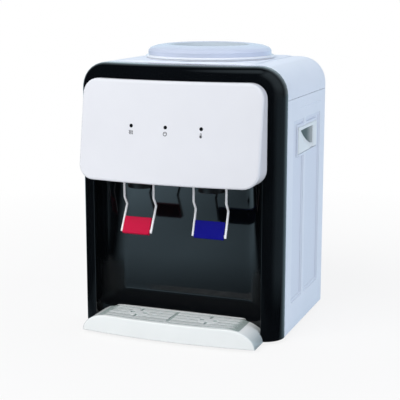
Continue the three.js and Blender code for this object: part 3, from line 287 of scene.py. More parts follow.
def bare_object(name, mesh, facing=None):
    """An object in metres from a mesh in millimetres, with its faces pointing out."""
    bmesh.ops.remove_doubles(mesh, verts=mesh.verts, dist=1e-3)
    bmesh.ops.recalc_face_normals(mesh, faces=mesh.faces)
    if facing:
        way = Vector(facing)
        furthest = max(mesh.verts, key=lambda v: v.co.dot(way))
        furthest.normal_update()
        if furthest.normal.dot(way) < 0:
            bmesh.ops.reverse_faces(mesh, faces=mesh.faces)
    mesh.transform(Matrix.Scale(MM, 4))
    data = bpy.data.meshes.new(name)
    mesh.to_mesh(data)
    mesh.free()
    obj = bpy.data.objects.new(name, data)
    bpy.context.scene.collection.objects.link(obj)
    return obj


def shell(name, mesh, facing, wall):
    """An open skin whose outside faces one way, with its wall given inwards."""
    return changed(bare_object(name, mesh, facing), "SOLIDIFY", thickness=wall * MM, offset=-1)


def carve(obj, *cutters):
    """Cuts the cutters, which are meshes in millimetres or objects, out of the object."""
    for cutter in cutters:
        tool = cutter if isinstance(cutter, bpy.types.Object) else bare_object("cutter", cutter)
        changed(obj, "BOOLEAN", solver="EXACT", object=tool)
        bpy.data.objects.remove(tool)
    return obj


def soft_edges(obj, width):
    """Rounds the sharp edges that cutting left."""
    sharp = math.radians(40)
    return changed(obj, "BEVEL", width=width * MM, segments=2, limit_method="ANGLE", angle_limit=sharp)


def dressed(obj, *nodes, finish=None, slot=None, sharp=35):
    """Shading, finish and place of a finished piece.

    It rides on the body of the nodes that it stands for, and takes their slot and their finish."""
    for polygon in obj.data.polygons:
        polygon.use_smooth = True
    obj.data.set_sharp_from_angle(angle=math.radians(sharp))
    changed(obj, "WEIGHTED_NORMAL", keep_sharp=True)
    slot = slot or SLOT_OF[nodes[0]]
    obj.data.materials.clear()
    obj.data.materials.append(finish or FINISHES[slot])
    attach(obj, BODY_OF[nodes[0]] if nodes else "housing")
    if nodes:
        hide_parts(*nodes)
    return obj


def made(name, mesh, *nodes, **finishing):
    """A finished piece straight from its mesh."""
    return dressed(bare_object(name, mesh), *nodes, **finishing)


# ---- finishes -----------------------------------------------------------------------------


def linear(code):
    """The linear colour of an sRGB hex code."""
    values = [int(code[k : k + 2], 16) / 255 for k in (1, 3, 5)]
    return (*[v / 12.92 if v <= 0.04045 else ((v + 0.055) / 1.055) ** 2.4 for v in values], 1)


def add(tree, kind, settings=None, inputs=None):
    """A node with its settings. An input takes a value or another node's output."""
    node = tree.nodes.new(kind)
    for name, value in (settings or {}).items():
        setattr(node, name, value)
    for name, value in (inputs or {}).items():
        if isinstance(value, bpy.types.NodeSocket):
            tree.links.new(value, node.inputs[name])
        else:
            node.inputs[name].default_value = value
    return node


def reckoned(tree, operation, *parts):
    """The parts put together two by two. A part is a value, or a slope of one: the value, where the
    slope starts and ends, and what it gives at either end, which is 0 and 1 if nothing is said."""
    result = None
    for part in parts:
        if isinstance(part, tuple):
            names = "Value", "From Min", "From Max", "To Min", "To Max"
            part = add(tree, "ShaderNodeMapRange", None, dict(zip(names, part))).outputs[0]
        if result is not None:
            part = add(tree, "ShaderNodeMath", {"operation": operation}, {0: result, 1: part}).outputs[0]
        result = part
    return result


def material(name):
    """A new material, its node tree, its shader's sockets, and the object's own coordinates."""
    blank = bpy.data.materials.new(name)
    blank.use_nodes = True
    tree = blank.node_tree
    place = add(tree, "ShaderNodeTexCoord").outputs["Object"]
    return blank, tree, tree.nodes["Principled BSDF"].inputs, place


NOISE_LOW, NOISE_HIGH = 0.3, 0.7


def patterned(name, colours, rough, marks, reliefs, steady):
    """A material made by noise. Each mark is its size in millimetres, its detail, its fineness and its
    stretch: the first shades the colour and the second sets the roughness. Each relief is the
    number of a mark and its depth in millimetres. What is steady is the same all over."""
    finish, tree, shader, place = material(name)
    values = []
    for size, detail, fineness, stretch in marks:
        spot = add(tree, "ShaderNodeMapping", None, {"Vector": place, "Scale": stretch}).outputs[0]
        inputs = {"Vector": spot, "Scale": 1 / (size * MM), "Detail": detail, "Roughness": fineness}
        values.append(add(tree, "ShaderNodeTexNoise", None, inputs).outputs["Fac"])
    shade = reckoned(tree, "MULTIPLY", (values[0], NOISE_LOW, NOISE_HIGH))
    ramp = add(tree, "ShaderNodeValToRGB", None, {"Fac": shade})
    for stop, colour in zip(ramp.color_ramp.elements, colours):
        stop.color = linear(colour)
    tree.links.new(ramp.outputs["Color"], shader["Base Color"])
    wear = reckoned(tree, "MULTIPLY", (values[1], NOISE_LOW, NOISE_HIGH, *rough))
    tree.links.new(wear, shader["Roughness"])
    under = {}
    for mark, depth in reliefs:
        inputs = {"Height": values[mark], "Distance": depth * MM, "Strength": 1.0, **under}
        under = {"Normal": add(tree, "ShaderNodeBump", None, inputs).outputs["Normal"]}
    tree.links.new(under["Normal"], shader["Normal"])
    for socket, value in steady.items():
        shader[socket].default_value = value
    return finish


def moulded(name, first, second, rough, grain=0.9, grain_depth=0.004, wave_depth=0.02, shine=0.5):
    """Injection-moulded plastic: faint flow shading, a skin grain and a slow wave of the mould."""
    even = (1, 1, 1)
    flow, wear = (60, 2, 0.55, even), (9, 5, 0.65, even)
    wave, skin_grain = (35, 1, 0.55, even), (grain, 2, 0.55, even)
    steady = {"IOR": 1.53, "Specular IOR Level": shine}
    reliefs = (2, wave_depth), (3, grain_depth)
    return patterned(name, (first, second), rough, (flow, wear, wave, skin_grain), reliefs, steady)


def metal(name, first, second, rough, stretch, depth):
    """Bare metal with the fine lines that rolling, drawing or plating left on it."""
    stain, lines = (14, 3, 0.55, (1, 1, 1)), (1.2, 4, 0.55, stretch)
    return patterned(name, (first, second), rough, (stain, lines), ((1, depth),), {"Metallic": 1})


# The finish of each slot of the frame.
FINISHES = {
    # High-gloss white ABS: smooth as glass, with the faint slow wave of a moulded face.
    "white_gloss": moulded("gloss_white_abs", "#e2e3e7", "#e5e6ea", (0.16, 0.22), 1.4, 0.001, 0.008),
    # The body's ABS has a fine spark-eroded skin, so its sheen is broad and soft.
    "white_shell": moulded("eroded_white_abs", "#dfe6f0", "#e3e9f3", (0.42, 0.5), 0.7, 0.015),
    # Piano-black ABS: deep black under a clear skin, with a few wiping marks that only gloss shows.
    "black_gloss": moulded("piano_black_abs", "#080a0d", "#0a0d10", (0.05, 0.11), 2.2, 0.0008, 0.01),
    # Satin black polypropylene of the taps.
    "black_plastic": moulded("satin_black_pp", "#101315", "#15181b", (0.32, 0.45), 0.6, 0.012),
    # Soft rubber: nearly black, dull, with a fine dusty grain.
    "black_rubber": moulded("black_rubber", "#1b1b1d", "#232326", (0.7, 0.85), 0.5, 0.03),
    # Paddles: coloured through, satin, a little light passes into them.
    "red_plastic": moulded("paddle_red_abs", "#bd0337", "#c2063c", (0.34, 0.42), 0.8, 0.006, shine=0.2),
    "blue_plastic": moulded("paddle_blue_abs", "#06077a", "#090985", (0.34, 0.42), 0.8, 0.006, shine=0.2),
    # Steel wire in a white plastic coat, a little soft at the bends.
    "lever_wire": moulded("white_coated_wire", "#f6f7f8", "#fafafa", (0.22, 0.34), 1.2, 0.01),
    # Smoked lens: dark and clear-coated, so that it shows as a black dot with a small light in it.
    "lamp_plastic": moulded("smoked_acrylic", "#101114", "#16171a", (0.06, 0.12), 1.0, 0.001, 0.004),
    # Printed circuit board: solder mask over a woven base.
    "circuit_board": moulded("green_circuit_board", "#235c36", "#2c6b40", (0.35, 0.5), 0.5, 0.01),
    # Silicone hoses and gaskets: milky, with a soft sheen.
    "silicone": moulded("milky_silicone", "#d5dada", "#e0e4e4", (0.4, 0.52), 0.8, 0.012),
    # Foam insulation: matt cells that show at a low angle.
    "foam": moulded("polystyrene_foam", "#ecece6", "#f3f3ee", (0.85, 0.95), 2.4, 0.25),
    # Drawn stainless steel: fine lines run round the tank.
    "stainless": metal("drawn_stainless", "#b4b7bb", "#c0c3c7", (0.2, 0.36), (1, 1, 12), 0.006),
    # Zinc plating: a slight bluish mottle.
    "zinc_steel": metal("zinc_plated_steel", "#bfc2c6", "#cdd0d3", (0.25, 0.42), (1, 1, 1), 0.004),
    # Spring wire: darker, with lines along its drawing.
    "spring_steel": metal("spring_steel_wire", "#8f9296", "#a0a3a7", (0.25, 0.4), (6, 6, 1), 0.004),
}
# The sides are the shell's plastic. Their sunk fields get painted shade below.
SIDE_WHITE = moulded("eroded_white_abs_with_painted_shade_in_fields", "#dfe6f0", "#e3e9f3", (0.42, 0.5), 0.7, 0.015)
# Handle cups: polypropylene, a little greener than the sides.
CUP_WHITE = moulded("handle_white_pp", "#e2e8ea", "#e6ebec", (0.34, 0.44), 0.8, 0.01)
# The tray is moulded in a slightly cooler white, and its gloss is a little duller here and there.
TRAY_WHITE = moulded("gloss_white_pp", "#f2f5f3", "#f5f8f6", (0.12, 0.17), 1.4, 0.0008, 0.006)
# The grille is the same plastic with a softer gloss. Its slots get a painted grey-green shade below.
GRILLE_WHITE = moulded("slotted_white_pp", "#f0f5f4", "#f4f8f7", (0.2, 0.28), 1.4, 0.0008, 0.004)
# The bottle seat: polypropylene, a little bluer and less glossy than the panel.
SEAT_WHITE = moulded("pale_blue_white_pp", "#c6cfe2", "#ccd4e6", (0.2, 0.26), 1.4, 0.0015, 0.008)
# Screen-printed ink: flat, with the faint unevenness of the mesh.
PRINT_INK = moulded("screen_print_ink", "#17191d", "#1f2126", (0.5, 0.62), 0.3, 0.004, 0.004)


def share_of(finish, axis, kind="Object", both_ways=False):
    """One axis of the object's own coordinates, or of its smooth normal if the kind is Normal."""
    tree = finish.node_tree
    source = "ShaderNodeNewGeometry" if kind == "Normal" else "ShaderNodeTexCoord"
    vector = add(tree, source).outputs[kind]
    if both_ways:
        vector = add(tree, "ShaderNodeVectorMath", {"operation": "ABSOLUTE"}, {0: vector}).outputs[0]
    return add(tree, "ShaderNodeSeparateXYZ", None, {"Vector": vector}).outputs[axis]


def overlaid(finish, colour, *slopes):
    """Lays a second colour over a finish where every slope is 1, and none where one of them is 0."""
    tree = finish.node_tree
    base = tree.nodes["Principled BSDF"].inputs["Base Color"]
    inputs = {0: reckoned(tree, "MULTIPLY", *slopes), 6: base.links[0].from_socket, 7: linear(colour)}
    tree.links.new(add(tree, "ShaderNodeMix", {"data_type": "RGBA"}, inputs).outputs[2], base)


def dulled(finish, rough, *slopes):
    """Raises the roughness where every slope is 1, and leaves it where one of them is 0."""
    tree = finish.node_tree
    target = tree.nodes["Principled BSDF"].inputs["Roughness"]
    more = reckoned(tree, "MULTIPLY", rough, *slopes)
    tree.links.new(reckoned(tree, "MAXIMUM", target.links[0].from_socket, more), target)


# The tints from here on are painted light and painted shade, laid into a finish by place or by which way its
# surface faces.
# They aren't wear, and they stay the same when the light changes.

# The low corners of the recess are satin, which blurs what they mirror.
black = FINISHES["black_gloss"]
dulled(black, 0.5, (share_of(black, "Z"), 0.07, 0.1, 1, 0),
       (share_of(black, "X", both_ways=True), 0.1145, 0.1165, 1, 0),
       (share_of(black, "Y", "Normal"), -0.999, -0.97))
# The flat of the top cover is painted lighter than its rounds: painted light on the face that looks up.
overlaid(FINISHES["white_shell"], "#ebf1fc", (share_of(FINISHES["white_shell"], "Z", "Normal"), 0.93, 0.995))
# The tray's rounded ends are painted greyer where they turn away: painted shade.
overlaid(TRAY_WHITE, "#aeb9ba", (share_of(TRAY_WHITE, "X", "Normal", both_ways=True), 0.35, 0.9))


# ---- bezel --------------------------------------------------------------------------------

bezel_low, bezel_high = corners("front_bezel")
panel_low, panel_high = corners("front_panel")
side_low, side_high = corners("right_side_panel")
GAP = 0.3
HALF = bezel_high.x
BASE = bezel_low.z
TOP = bezel_high.z
BEZEL_FRONT = bezel_low.y
BEZEL_REAR = side_low.y - GAP
BEZEL_BOW = 15
BEZEL_EDGE_RADIUS = 28
BEZEL_TOP_ROUND = 22
BEZEL_WALL = 1.8
SHOULDER_RADIUS = 36
OPENING_HALF = HALF - 24
OPENING_EDGE = 0.9
OPENING_CORNER = 8
RECESS_REAR = BEZEL_FRONT + BEZEL_BOW + 42
RECESS_COVE = 30
FLOOR_COVE = 19
CEILING = panel_low.z + 28.5
TRAY_TOP = corners("drip_tray")[1].z
RECESS_FLOOR = TRAY_TOP - 1


def bezel_front(x):
    return BEZEL_FRONT + bowed(x, HALF - BEZEL_EDGE_RADIUS, BEZEL_BOW)


def arch(half, low, high, radius, rises, spans, turns=8):
    """An upside-down U as (x, z, outward x, outward z): up the left, over the top, down the right."""
    left = [(-half, mix(low, high - radius, t), -1, 0) for t in rises]
    for nx, nz in arc(0, 0, 1, 180, 90, turns)[1:-1]:
        left.append((radius - half + radius * nx, high - radius + radius * nz, nx, nz))
    over = [((half - radius) * t, high, 0, 1) for t in spans]
    right = [(-x, z, -nx, nz) for x, z, nx, nz in reversed(left)]
    return left + over + right


def inset_row(line, inset, place):
    """A row drawn in from a line, with each point's y from its new x and z."""
    moved = [(x - nx * inset, z - nz * inset) for x, z, nx, nz in line]
    return [(x, place(x, z), z) for x, z in moved]


def rounded_over(point, radius, share):
    """A place on the round between a side or the top and the bowed front, from 0 to 1."""
    x, z, nx, nz = point
    end = math.pi / 2
    for _ in range(4):
        meet = x - nx * radius * (1 - math.cos(end))
        slope = (bezel_front(meet + 0.01) - bezel_front(meet - 0.01)) / 0.02
        end = math.pi / 2 - math.atan(nx * slope)
    centre_y = bezel_front(meet) + radius * math.sin(end)
    angle = end * share
    inset = radius * (1 - math.cos(angle))
    return (x - nx * inset, centre_y - radius * math.sin(angle), z - nz * inset)


def recess_y(x, z):
    """Rear surface of the splash recess: flat, with coves to the sides, the floor and the ceiling."""
    side = max(0.0, abs(x) - (OPENING_HALF - RECESS_COVE))
    floor = max(0.0, RECESS_FLOOR + FLOOR_COVE - z) * RECESS_COVE / FLOOR_COVE
    off = min(RECESS_COVE, (side**4 + floor**4) ** 0.25)
    top = min(OPENING_CORNER, max(0.0, z - (CEILING - OPENING_CORNER)))
    coved = RECESS_REAR - RECESS_COVE + math.sqrt(RECESS_COVE**2 - off**2)
    ceiling = RECESS_REAR - OPENING_CORNER + math.sqrt(OPENING_CORNER**2 - top**2)
    return min(coved, ceiling)


def make_bezel():
    straight = CEILING - OPENING_CORNER
    cove_top = RECESS_FLOOR + FLOOR_COVE
    levels = spaced(BASE, RECESS_FLOOR, 3)[:-1]
    levels += [z for _, z in arc(0, cove_top, FLOOR_COVE, -90, 0, 10)]
    levels += spaced(cove_top, straight, 28)[1:]
    rises = [(z - BASE) / (straight - BASE) for z in levels]
    spans = spaced(-1, 1, 28)
    outer = arch(HALF, BASE, TOP, SHOULDER_RADIUS, rises, spans)
    inner = arch(OPENING_HALF, BASE, CEILING, OPENING_CORNER, rises, spans)
    rows = []
    for inset, depth in ((1.6, 0), (0.35, 0), (0, 0.45)):
        rows.append(inset_row(outer, inset, lambda x, z: BEZEL_REAR - depth))
    radii = [mix(BEZEL_EDGE_RADIUS, BEZEL_TOP_ROUND, ease(nz)) for _, _, _, nz in outer]
    for share in spaced(0, 1, 14):
        rows.append([rounded_over(p, r, share) for p, r in zip(outer, radii)])
    rim = inset_row(inner, -OPENING_EDGE, lambda x, z: 0)
    start = rows[-1]
    for share in spaced(0, 1, 6)[1:]:
        row = [(mix(a[0], b[0], share), mix(a[2], b[2], share)) for a, b in zip(start, rim)]
        rows.append([(x, bezel_front(x), z) for x, z in row])
    for deep, out in quarter(OPENING_EDGE, 4)[1:]:
        rows.append(inset_row(inner, -out, lambda x, z: bezel_front(x) + deep))
    for share in spaced(0, 1, 5)[1:]:
        rows.append([(x, mix(bezel_front(x) + OPENING_EDGE, recess_y(x, z), share), z)
                     for x, z, _, _ in inner])
    back_half = OPENING_HALF - RECESS_COVE
    inward = back_half / (OPENING_HALF - OPENING_CORNER)
    for share in spaced(0, 1, 10)[1:]:
        pull = 1 - math.cos(math.pi / 2 * share)
        row = []
        for x, z, _, nz in inner:
            end = math.copysign(min(back_half, abs(x) * inward if nz == 1 else back_half), x)
            row.append((mix(x, end, pull), mix(z, min(z, straight), pull)))
        rows.append([(x, recess_y(x, z), z) for x, z in row])
    back = [[(back_half * t, recess_y(back_half * t, z), z) for t in spans] for z in levels]
    mesh = merge(skin(rows), skin(back))
    dressed(shell("bezel", mesh, (0, -1, 0), BEZEL_WALL), "front_bezel", sharp=50)


make_bezel()


# ---- front panel --------------------------------------------------------------------------

PANEL_CORNER = 20
PANEL_BOW = 11
PANEL_LEAN = 21 / (panel_high.z - panel_low.z)
PANEL_EDGE = 3.2
PANEL_WALL = 2.2


def panel_face(x, z):
    return panel_low.y + bowed(x, panel_high.x, PANEL_BOW) + PANEL_LEAN * (z - panel_low.z)


def rectangle_loop(half_x, low, high, radius, across, rises, turns=7):
    """A rounded rectangle as (x, z, outward x, outward z), anticlockwise from the lower left."""
    side, floor, roof = half_x - radius, low + radius, high - radius
    runs = (((-side, low), (side, low), across), ((half_x, floor), (half_x, roof), rises),
            ((side, high), (-side, high), across), ((-half_x, roof), (-half_x, floor), rises))
    loop = []
    for k, (start, end, count) in enumerate(runs):
        round_corner = arc(0, 0, 1, 90 * k - 90, 90 * k, turns)[:-1]
        nx, nz = ((0, -1), (1, 0), (0, 1), (-1, 0))[k]
        for t in spaced(0, 1, count)[:-1]:
            loop.append((mix(start[0], end[0], t), mix(start[1], end[1], t), nx, nz))
        centre = end[0] - nx * radius, end[1] - nz * radius
        loop += [(centre[0] + radius * x, centre[1] + radius * z, x, z) for x, z in round_corner]
    return loop


def make_panel():
    loop = rectangle_loop(panel_high.x, panel_low.z, panel_high.z, PANEL_CORNER, 24, 14)
    rows = []
    for inset, clear in ((1.5, GAP), (0.3, GAP), (0, GAP + 0.3)):
        rows.append(inset_row(loop, inset, lambda x, z: bezel_front(x) - clear))
    for share in (0.33, 0.67):
        rows.append([(x, mix(bezel_front(x) - GAP, panel_face(x, z) + PANEL_EDGE, share), z)
                     for x, z, _, _ in loop])
    for inset, deep in quarter(PANEL_EDGE, 7):
        rows.append(inset_row(loop, inset, lambda x, z: panel_face(x, z) + deep))
    middle = (panel_low.z + panel_high.z) / 2
    edge = rows[-1]
    for share in spaced(1, 0, 20)[1:]:
        ring = [(x * share, mix(middle, z, share)) for x, _, z in edge]
        rows.append([(x, panel_face(x, z), z) for x, z in ring])
    mesh = skin(rows, closed=True)
    dressed(shell("front_cover", mesh, (0, -1, 0), PANEL_WALL), "front_panel", sharp=40)


make_panel()


# ---- shells -------------------------------------------------------------------------------

cover_low, cover_high = corners("top_cover")
handle_low, handle_high = corners("right_handle_cup")
seat_low, seat_high = corners("bottle_seat")
SEAM = cover_low.z
BACK = cover_high.y
SEAT_Y = (seat_low.y + seat_high.y) / 2
SEAT_HOLE = 79.5
REAR_CORNER = 8
COVER_REAR_ROUND = 6
SHELL_WALL = 2.4
RIM_EDGE = 0.5
PLATEAU_HALF = 93
PLATEAU_RAMP = 1.2


def stations(low, high, step, edges=(), width=1.0):
    """Places from low to high at about a step, with closer ones across each soft edge."""
    places = spaced(low, high, max(1, round((high - low) / step)))
    for edge in edges:
        places = [p for p in places if not edge - 0.4 < p < edge + width + 0.4]
    for edge in edges:
        places += spaced(edge, edge + width, 4)
    return sorted(set(places))


def inside(a, b, low, high, corner=2):
    """How far a place lies inside a rectangle with rounded corners, or below 0 if outside."""
    da = min(a - low[0], high[0] - a)
    db = min(b - low[1], high[1] - b)
    if da < corner and db < corner:
        return corner - math.hypot(corner - da, corner - db)
    return min(da, db)


def make_top_cover():
    flat = HALF - SHOULDER_RADIUS
    plateau_low, plateau_high = (-PLATEAU_HALF, side_low.y + 11.7), (PLATEAU_HALF, BACK - 9)
    ramps = [-PLATEAU_HALF, PLATEAU_HALF - PLATEAU_RAMP]
    spans = [x / flat for x in stations(-flat, flat, 9, ramps, PLATEAU_RAMP)]
    outline = arch(HALF, SEAM, TOP, SHOULDER_RADIUS, (0, 0.07, 1), spans, 10)
    rows = []
    ramps = [plateau_low[1], plateau_high[1] - PLATEAU_RAMP]
    straight = stations(side_low.y + RIM_EDGE, BACK - REAR_CORNER, 10, ramps, PLATEAU_RAMP)
    for y, inset in [(side_low.y, RIM_EDGE)] + [(y, 0) for y in straight]:
        line = []
        for x, z, nx, nz in outline:
            edge = RIM_EDGE if z == SEAM else 0
            depth = inside(x, y, plateau_low, plateau_high, 5)
            rise = (cover_high.z - TOP) * ease(depth, 0, PLATEAU_RAMP) if nz == 1 else 0
            line.append((x - nx * (inset + edge), y, z - nz * inset + rise))
        rows.append(line)
    for inset, deep in quarter(1, 6):
        line = []
        for x, z, nx, nz in outline:
            radius = mix(REAR_CORNER, COVER_REAR_ROUND, ease(nz))
            line.append((x - nx * radius * inset, BACK - radius * deep, z - nz * radius * inset))
        rows.append(line)
    for share in (0.5, 1):
        rows.append([(x, y, mix(z, SEAM, share)) for x, y, z in rows[-1]])
    cover = shell("top_cover_shell", skin(rows), (0, 0, 1), SHELL_WALL)
    carve(cover, rod((0, SEAT_Y, 0), "z", SEAT_HOLE, SEAM - 5, TOP + 9, 0, 96))
    dressed(cover, "top_cover")


FIELD_END = BACK - 33
FIELDS = ((side_low.y + 26.7, side_low.y + 76.7), (side_low.y + 85.7, FIELD_END))
FIELD_LOW = BASE + 37
FIELD_TOP = SEAM - 29
FIELD_STEP = 1.1
FIELD_SLOPE = 0.9
SECOND_STEP = 4
FRAME = 3.3
LINE_START = side_low.y + 58
LINE_Z = SEAM - 15
LINE_HALF = 0.7
LINE_DEEP = 0.6
LEDGE_START, LEDGE_END, LEDGE_DEEP = HALF - 12, HALF - 28, 6.3
CUT_REACH = 9


def side_sink(y, z):
    """Depth under the side's outer face: two sunk fields in two steps, cut by the handle's frame."""
    sink = 0
    for start, end in FIELDS:
        depth = inside(y, z, (start, FIELD_LOW), (end, FIELD_TOP), 3)
        for step in (0, SECOND_STEP):
            sink += FIELD_STEP * ease(depth, step, step + FIELD_SLOPE)
    low, high = (handle_low.y - FRAME, handle_low.z - FRAME), (handle_high.y + FRAME, handle_high.z + FRAME)
    sink *= 1 - ease(inside(y, z, low, high), -FIELD_SLOPE, 0)
    line = inside(y, z, (LINE_START, LINE_Z - LINE_HALF), (FIELD_END, LINE_Z + LINE_HALF), LINE_HALF)
    return sink + LINE_DEEP * ease(line, 0, 0.6)


def make_side_panel(side, word):
    before, behind = (0, SECOND_STEP), (-FIELD_SLOPE, -SECOND_STEP - FIELD_SLOPE)
    y_edges = [start + shift for start, _ in FIELDS for shift in before]
    y_edges += [end + shift for _, end in FIELDS for shift in behind]
    y_edges += [handle_low.y - FRAME - FIELD_SLOPE, handle_high.y + FRAME]
    z_edges = [FIELD_LOW + shift for shift in before] + [FIELD_TOP + shift for shift in behind]
    z_edges += [LINE_Z - LINE_HALF, LINE_Z, handle_low.z - FRAME - FIELD_SLOPE, handle_high.z + FRAME]
    ys = stations(side_low.y + RIM_EDGE, BACK - REAR_CORNER, 9, y_edges, FIELD_SLOPE)
    zs = stations(BASE + RIM_EDGE, side_high.z - RIM_EDGE, 11, z_edges, FIELD_SLOPE)
    ledge = BACK - LEDGE_DEEP
    tail = [(HALF - REAR_CORNER, BACK, 0), (LEDGE_START, BACK, 0.6), (LEDGE_START, ledge, 0.6),
            (LEDGE_END, ledge, 0)]
    tail = softened(tail, 2, closed=False)
    rows = []
    for z, inset in [(BASE, RIM_EDGE)] + [(z, 0) for z in zs] + [(side_high.z, RIM_EDGE)]:
        line = [(HALF - inset - RIM_EDGE, side_low.y)]
        line += [(HALF - inset - side_sink(y, z), y) for y in ys]
        line += arc(HALF - REAR_CORNER, BACK - REAR_CORNER, REAR_CORNER - inset, 0, 90, 6)[1:-1]
        line += [(x, y - inset) for x, y in tail]
        rows.append([(side * x, y, z) for x, y in line])
    panel = shell(word + "_side_shell", skin(rows), (side, 0, 0), SHELL_WALL)
    near, far = sorted((side * (HALF - CUT_REACH), side * (HALF + CUT_REACH)))
    low = near, handle_low.y - GAP, handle_low.z - GAP
    high = far, handle_high.y + GAP, handle_high.z + GAP
    carve(panel, block(low, high))
    dressed(panel, word + "_side_panel", finish=SIDE_WHITE)


# The sunk fields of the sides are painted a little darker: painted shade in the recesses.
along, height = share_of(SIDE_WHITE, "Y"), share_of(SIDE_WHITE, "Z")
for start, end in FIELDS:
    edges = ((along, start, 1), (along, end, -1), (height, FIELD_LOW, 1), (height, FIELD_TOP, -1))
    slopes = [(value, edge * MM, (edge + way) * MM) for value, edge, way in edges]
    overlaid(SIDE_WHITE, "#d9e0ec", *slopes)

CUP_WALL = 1.5
CUP_RIM = 1.2
POCKET_DEEP = 17
POCKET_LONG, POCKET_HIGH = 51, 25
POCKET_BACK, POCKET_TOP = 16.7, 4.7
POCKET_CURVE = 1.25
SCOOP = 4


def cup_depth(y, z):
    """Depth under the handle plate: a pocket, flat above and upright behind, and a scoop before it."""
    back, up = handle_high.y - POCKET_BACK - y, handle_high.z - POCKET_TOP - z
    along, down = max(back / POCKET_LONG, 0), max(up / POCKET_HIGH, 0)
    reach = (along**POCKET_CURVE + down**POCKET_CURVE) ** (1 / POCKET_CURVE)
    above = ease(up, 0, FIELD_SLOPE)
    pocket = POCKET_DEEP * ease(back, 0, FIELD_SLOPE) * above * (1 - ease(reach, 0.86, 1))
    scoop = SCOOP * (1 - ease(reach, 1, 1.45)) * ease(back, -6, 8) * above
    border = inside(y, z, handle_low.yz, handle_high.yz, 1)
    return pocket + scoop + CUP_RIM * (1 - ease(border, 0, 1))


def make_handle_cup(side, word):
    y_edges = (handle_low.y, handle_high.y - 1, handle_high.y - POCKET_BACK - FIELD_SLOPE)
    z_edges = (handle_low.z, handle_high.z - 1, handle_high.z - POCKET_TOP - FIELD_SLOPE)
    ys = stations(handle_low.y, handle_high.y, 1.6, y_edges)
    zs = stations(handle_low.z, handle_high.z, 1.1, z_edges)
    rows = [[(side * (handle_high.x - cup_depth(y, z)), y, z) for y in ys] for z in zs]
    cup = shell(word + "_grip", skin(rows), (side, 0, 0), CUP_WALL)
    dressed(cup, word + "_handle_cup", finish=CUP_WHITE)


# Deep in the pocket the white is painted greyer: painted shade in the pocket.
overlaid(CUP_WHITE, "#a3b4b6",
         (share_of(CUP_WHITE, "X", both_ways=True), (handle_high.x - 4) * MM, (handle_high.x - 10) * MM))


def make_seat():
    top, floor = seat_high.z, seat_low.z + 12
    outline = [
        (30, seat_low.z, 0.8), (32.5, seat_low.z, 0.8), (56.5, top - 4, 1), (65, top - 4.5, 1),
        (77, top - 8, 1), (81, top - 12, 1), (81, floor, 0.5), (87, floor, 0.5), (87, floor + 2, 0.7),
        (83.5, floor + 2, 0.8), (83.5, top - 8, 1.6), (80.5, top - 4.5, 1.6), (73.5, top - 2, 5),
        (65, top - 0.6, 6), (58.5, top, 1.5), (54.5, top - 1.5, 1.5),
    ]
    mesh = turned(outline, (0, SEAT_Y, 0), "z", 128, 4)
    made("bottle_seat_ring", mesh, "bottle_seat", finish=SEAT_WHITE)


# The seat's flange is painted whiter than its collar, as painted light on its top, and its mouth is painted
# greyer, as painted shade inside the funnel.
flange_top = seat_low.z + 14
overlaid(SEAT_WHITE, "#edf1f6", (share_of(SEAT_WHITE, "Z"), (flange_top + 1) * MM, flange_top * MM))
tree = SEAT_WHITE.node_tree
place = add(tree, "ShaderNodeTexCoord").outputs["Object"]
flat = add(tree, "ShaderNodeVectorMath", {"operation": "MULTIPLY_ADD"},
           {0: place, 1: (1, 1, 0), 2: (0, -SEAT_Y * MM, 0)}).outputs[0]
out = add(tree, "ShaderNodeVectorMath", {"operation": "LENGTH"}, {0: flat}).outputs["Value"]
overlaid(SEAT_WHITE, "#bcc7cf", (out, 0.0575, 0.054))


def make_reservoir():
    low, high = corners("reservoir")
    floor, rim = low.z + 10, high.z
    outline = [
        (0, floor, 0), (72.5, floor, 2), (78.5, floor + 6, 2), (78.5, rim - 1.5, 1), (86, rim - 1.5, 0.5),
        (86, rim, 0.5), (76, rim, 1), (76, floor + 7, 2), (71, floor + 2.5, 2), (0, floor + 2.5, 0),
    ]
    mesh = turned(outline, (0, SEAT_Y, 0), "z", 96, 4)
    for x, y in ((40, SEAT_Y + 30), (49, SEAT_Y - 32)):
        merge(mesh, rod((x, y, 0), "z", 3.9, low.z, floor + 1, 0.3, 24))
    made("water_reservoir", mesh, "reservoir")


make_top_cover()
for side, word in ((1, "right"), (-1, "left")):
    make_side_panel(side, word)
    make_handle_cup(side, word)
make_seat()
make_reservoir()


# ---- repeats ------------------------------------------------------------------------------


def copies_tree():
    """Geometry Nodes that set copies of a mesh on a grid of columns and rows."""
    tree = bpy.data.node_groups.new("copies_on_a_grid", "GeometryNodeTree")
    inputs = {
        "Piece": "Geometry", "Columns": "Int", "Column step": "Vector",
        "Rows": "Int", "Row step": "Vector", "Finish": "Material",
    }
    for name, kind in inputs.items():
        tree.interface.new_socket(name, in_out="INPUT", socket_type="NodeSocket" + kind)
    tree.interface.new_socket("Copies", in_out="OUTPUT", socket_type="NodeSocketGeometry")
    given = add(tree, "NodeGroupInput").outputs
    copies = given["Piece"]
    for count, step in (("Rows", "Row step"), ("Columns", "Column step")):
        line = add(tree, "GeometryNodeMeshLine", None, {"Count": given[count], "Offset": given[step]})
        spots = {"Points": line.outputs[0], "Instance": copies}
        copies = add(tree, "GeometryNodeInstanceOnPoints", None, spots).outputs[0]
    real = add(tree, "GeometryNodeRealizeInstances", None, {"Geometry": copies})
    finish = {"Geometry": real.outputs[0], "Material": given["Finish"]}
    dressed_copies = add(tree, "GeometryNodeSetMaterial", None, finish)
    add(tree, "NodeGroupOutput", None, {"Copies": dressed_copies.outputs[0]})
    return tree


COPIES = copies_tree()


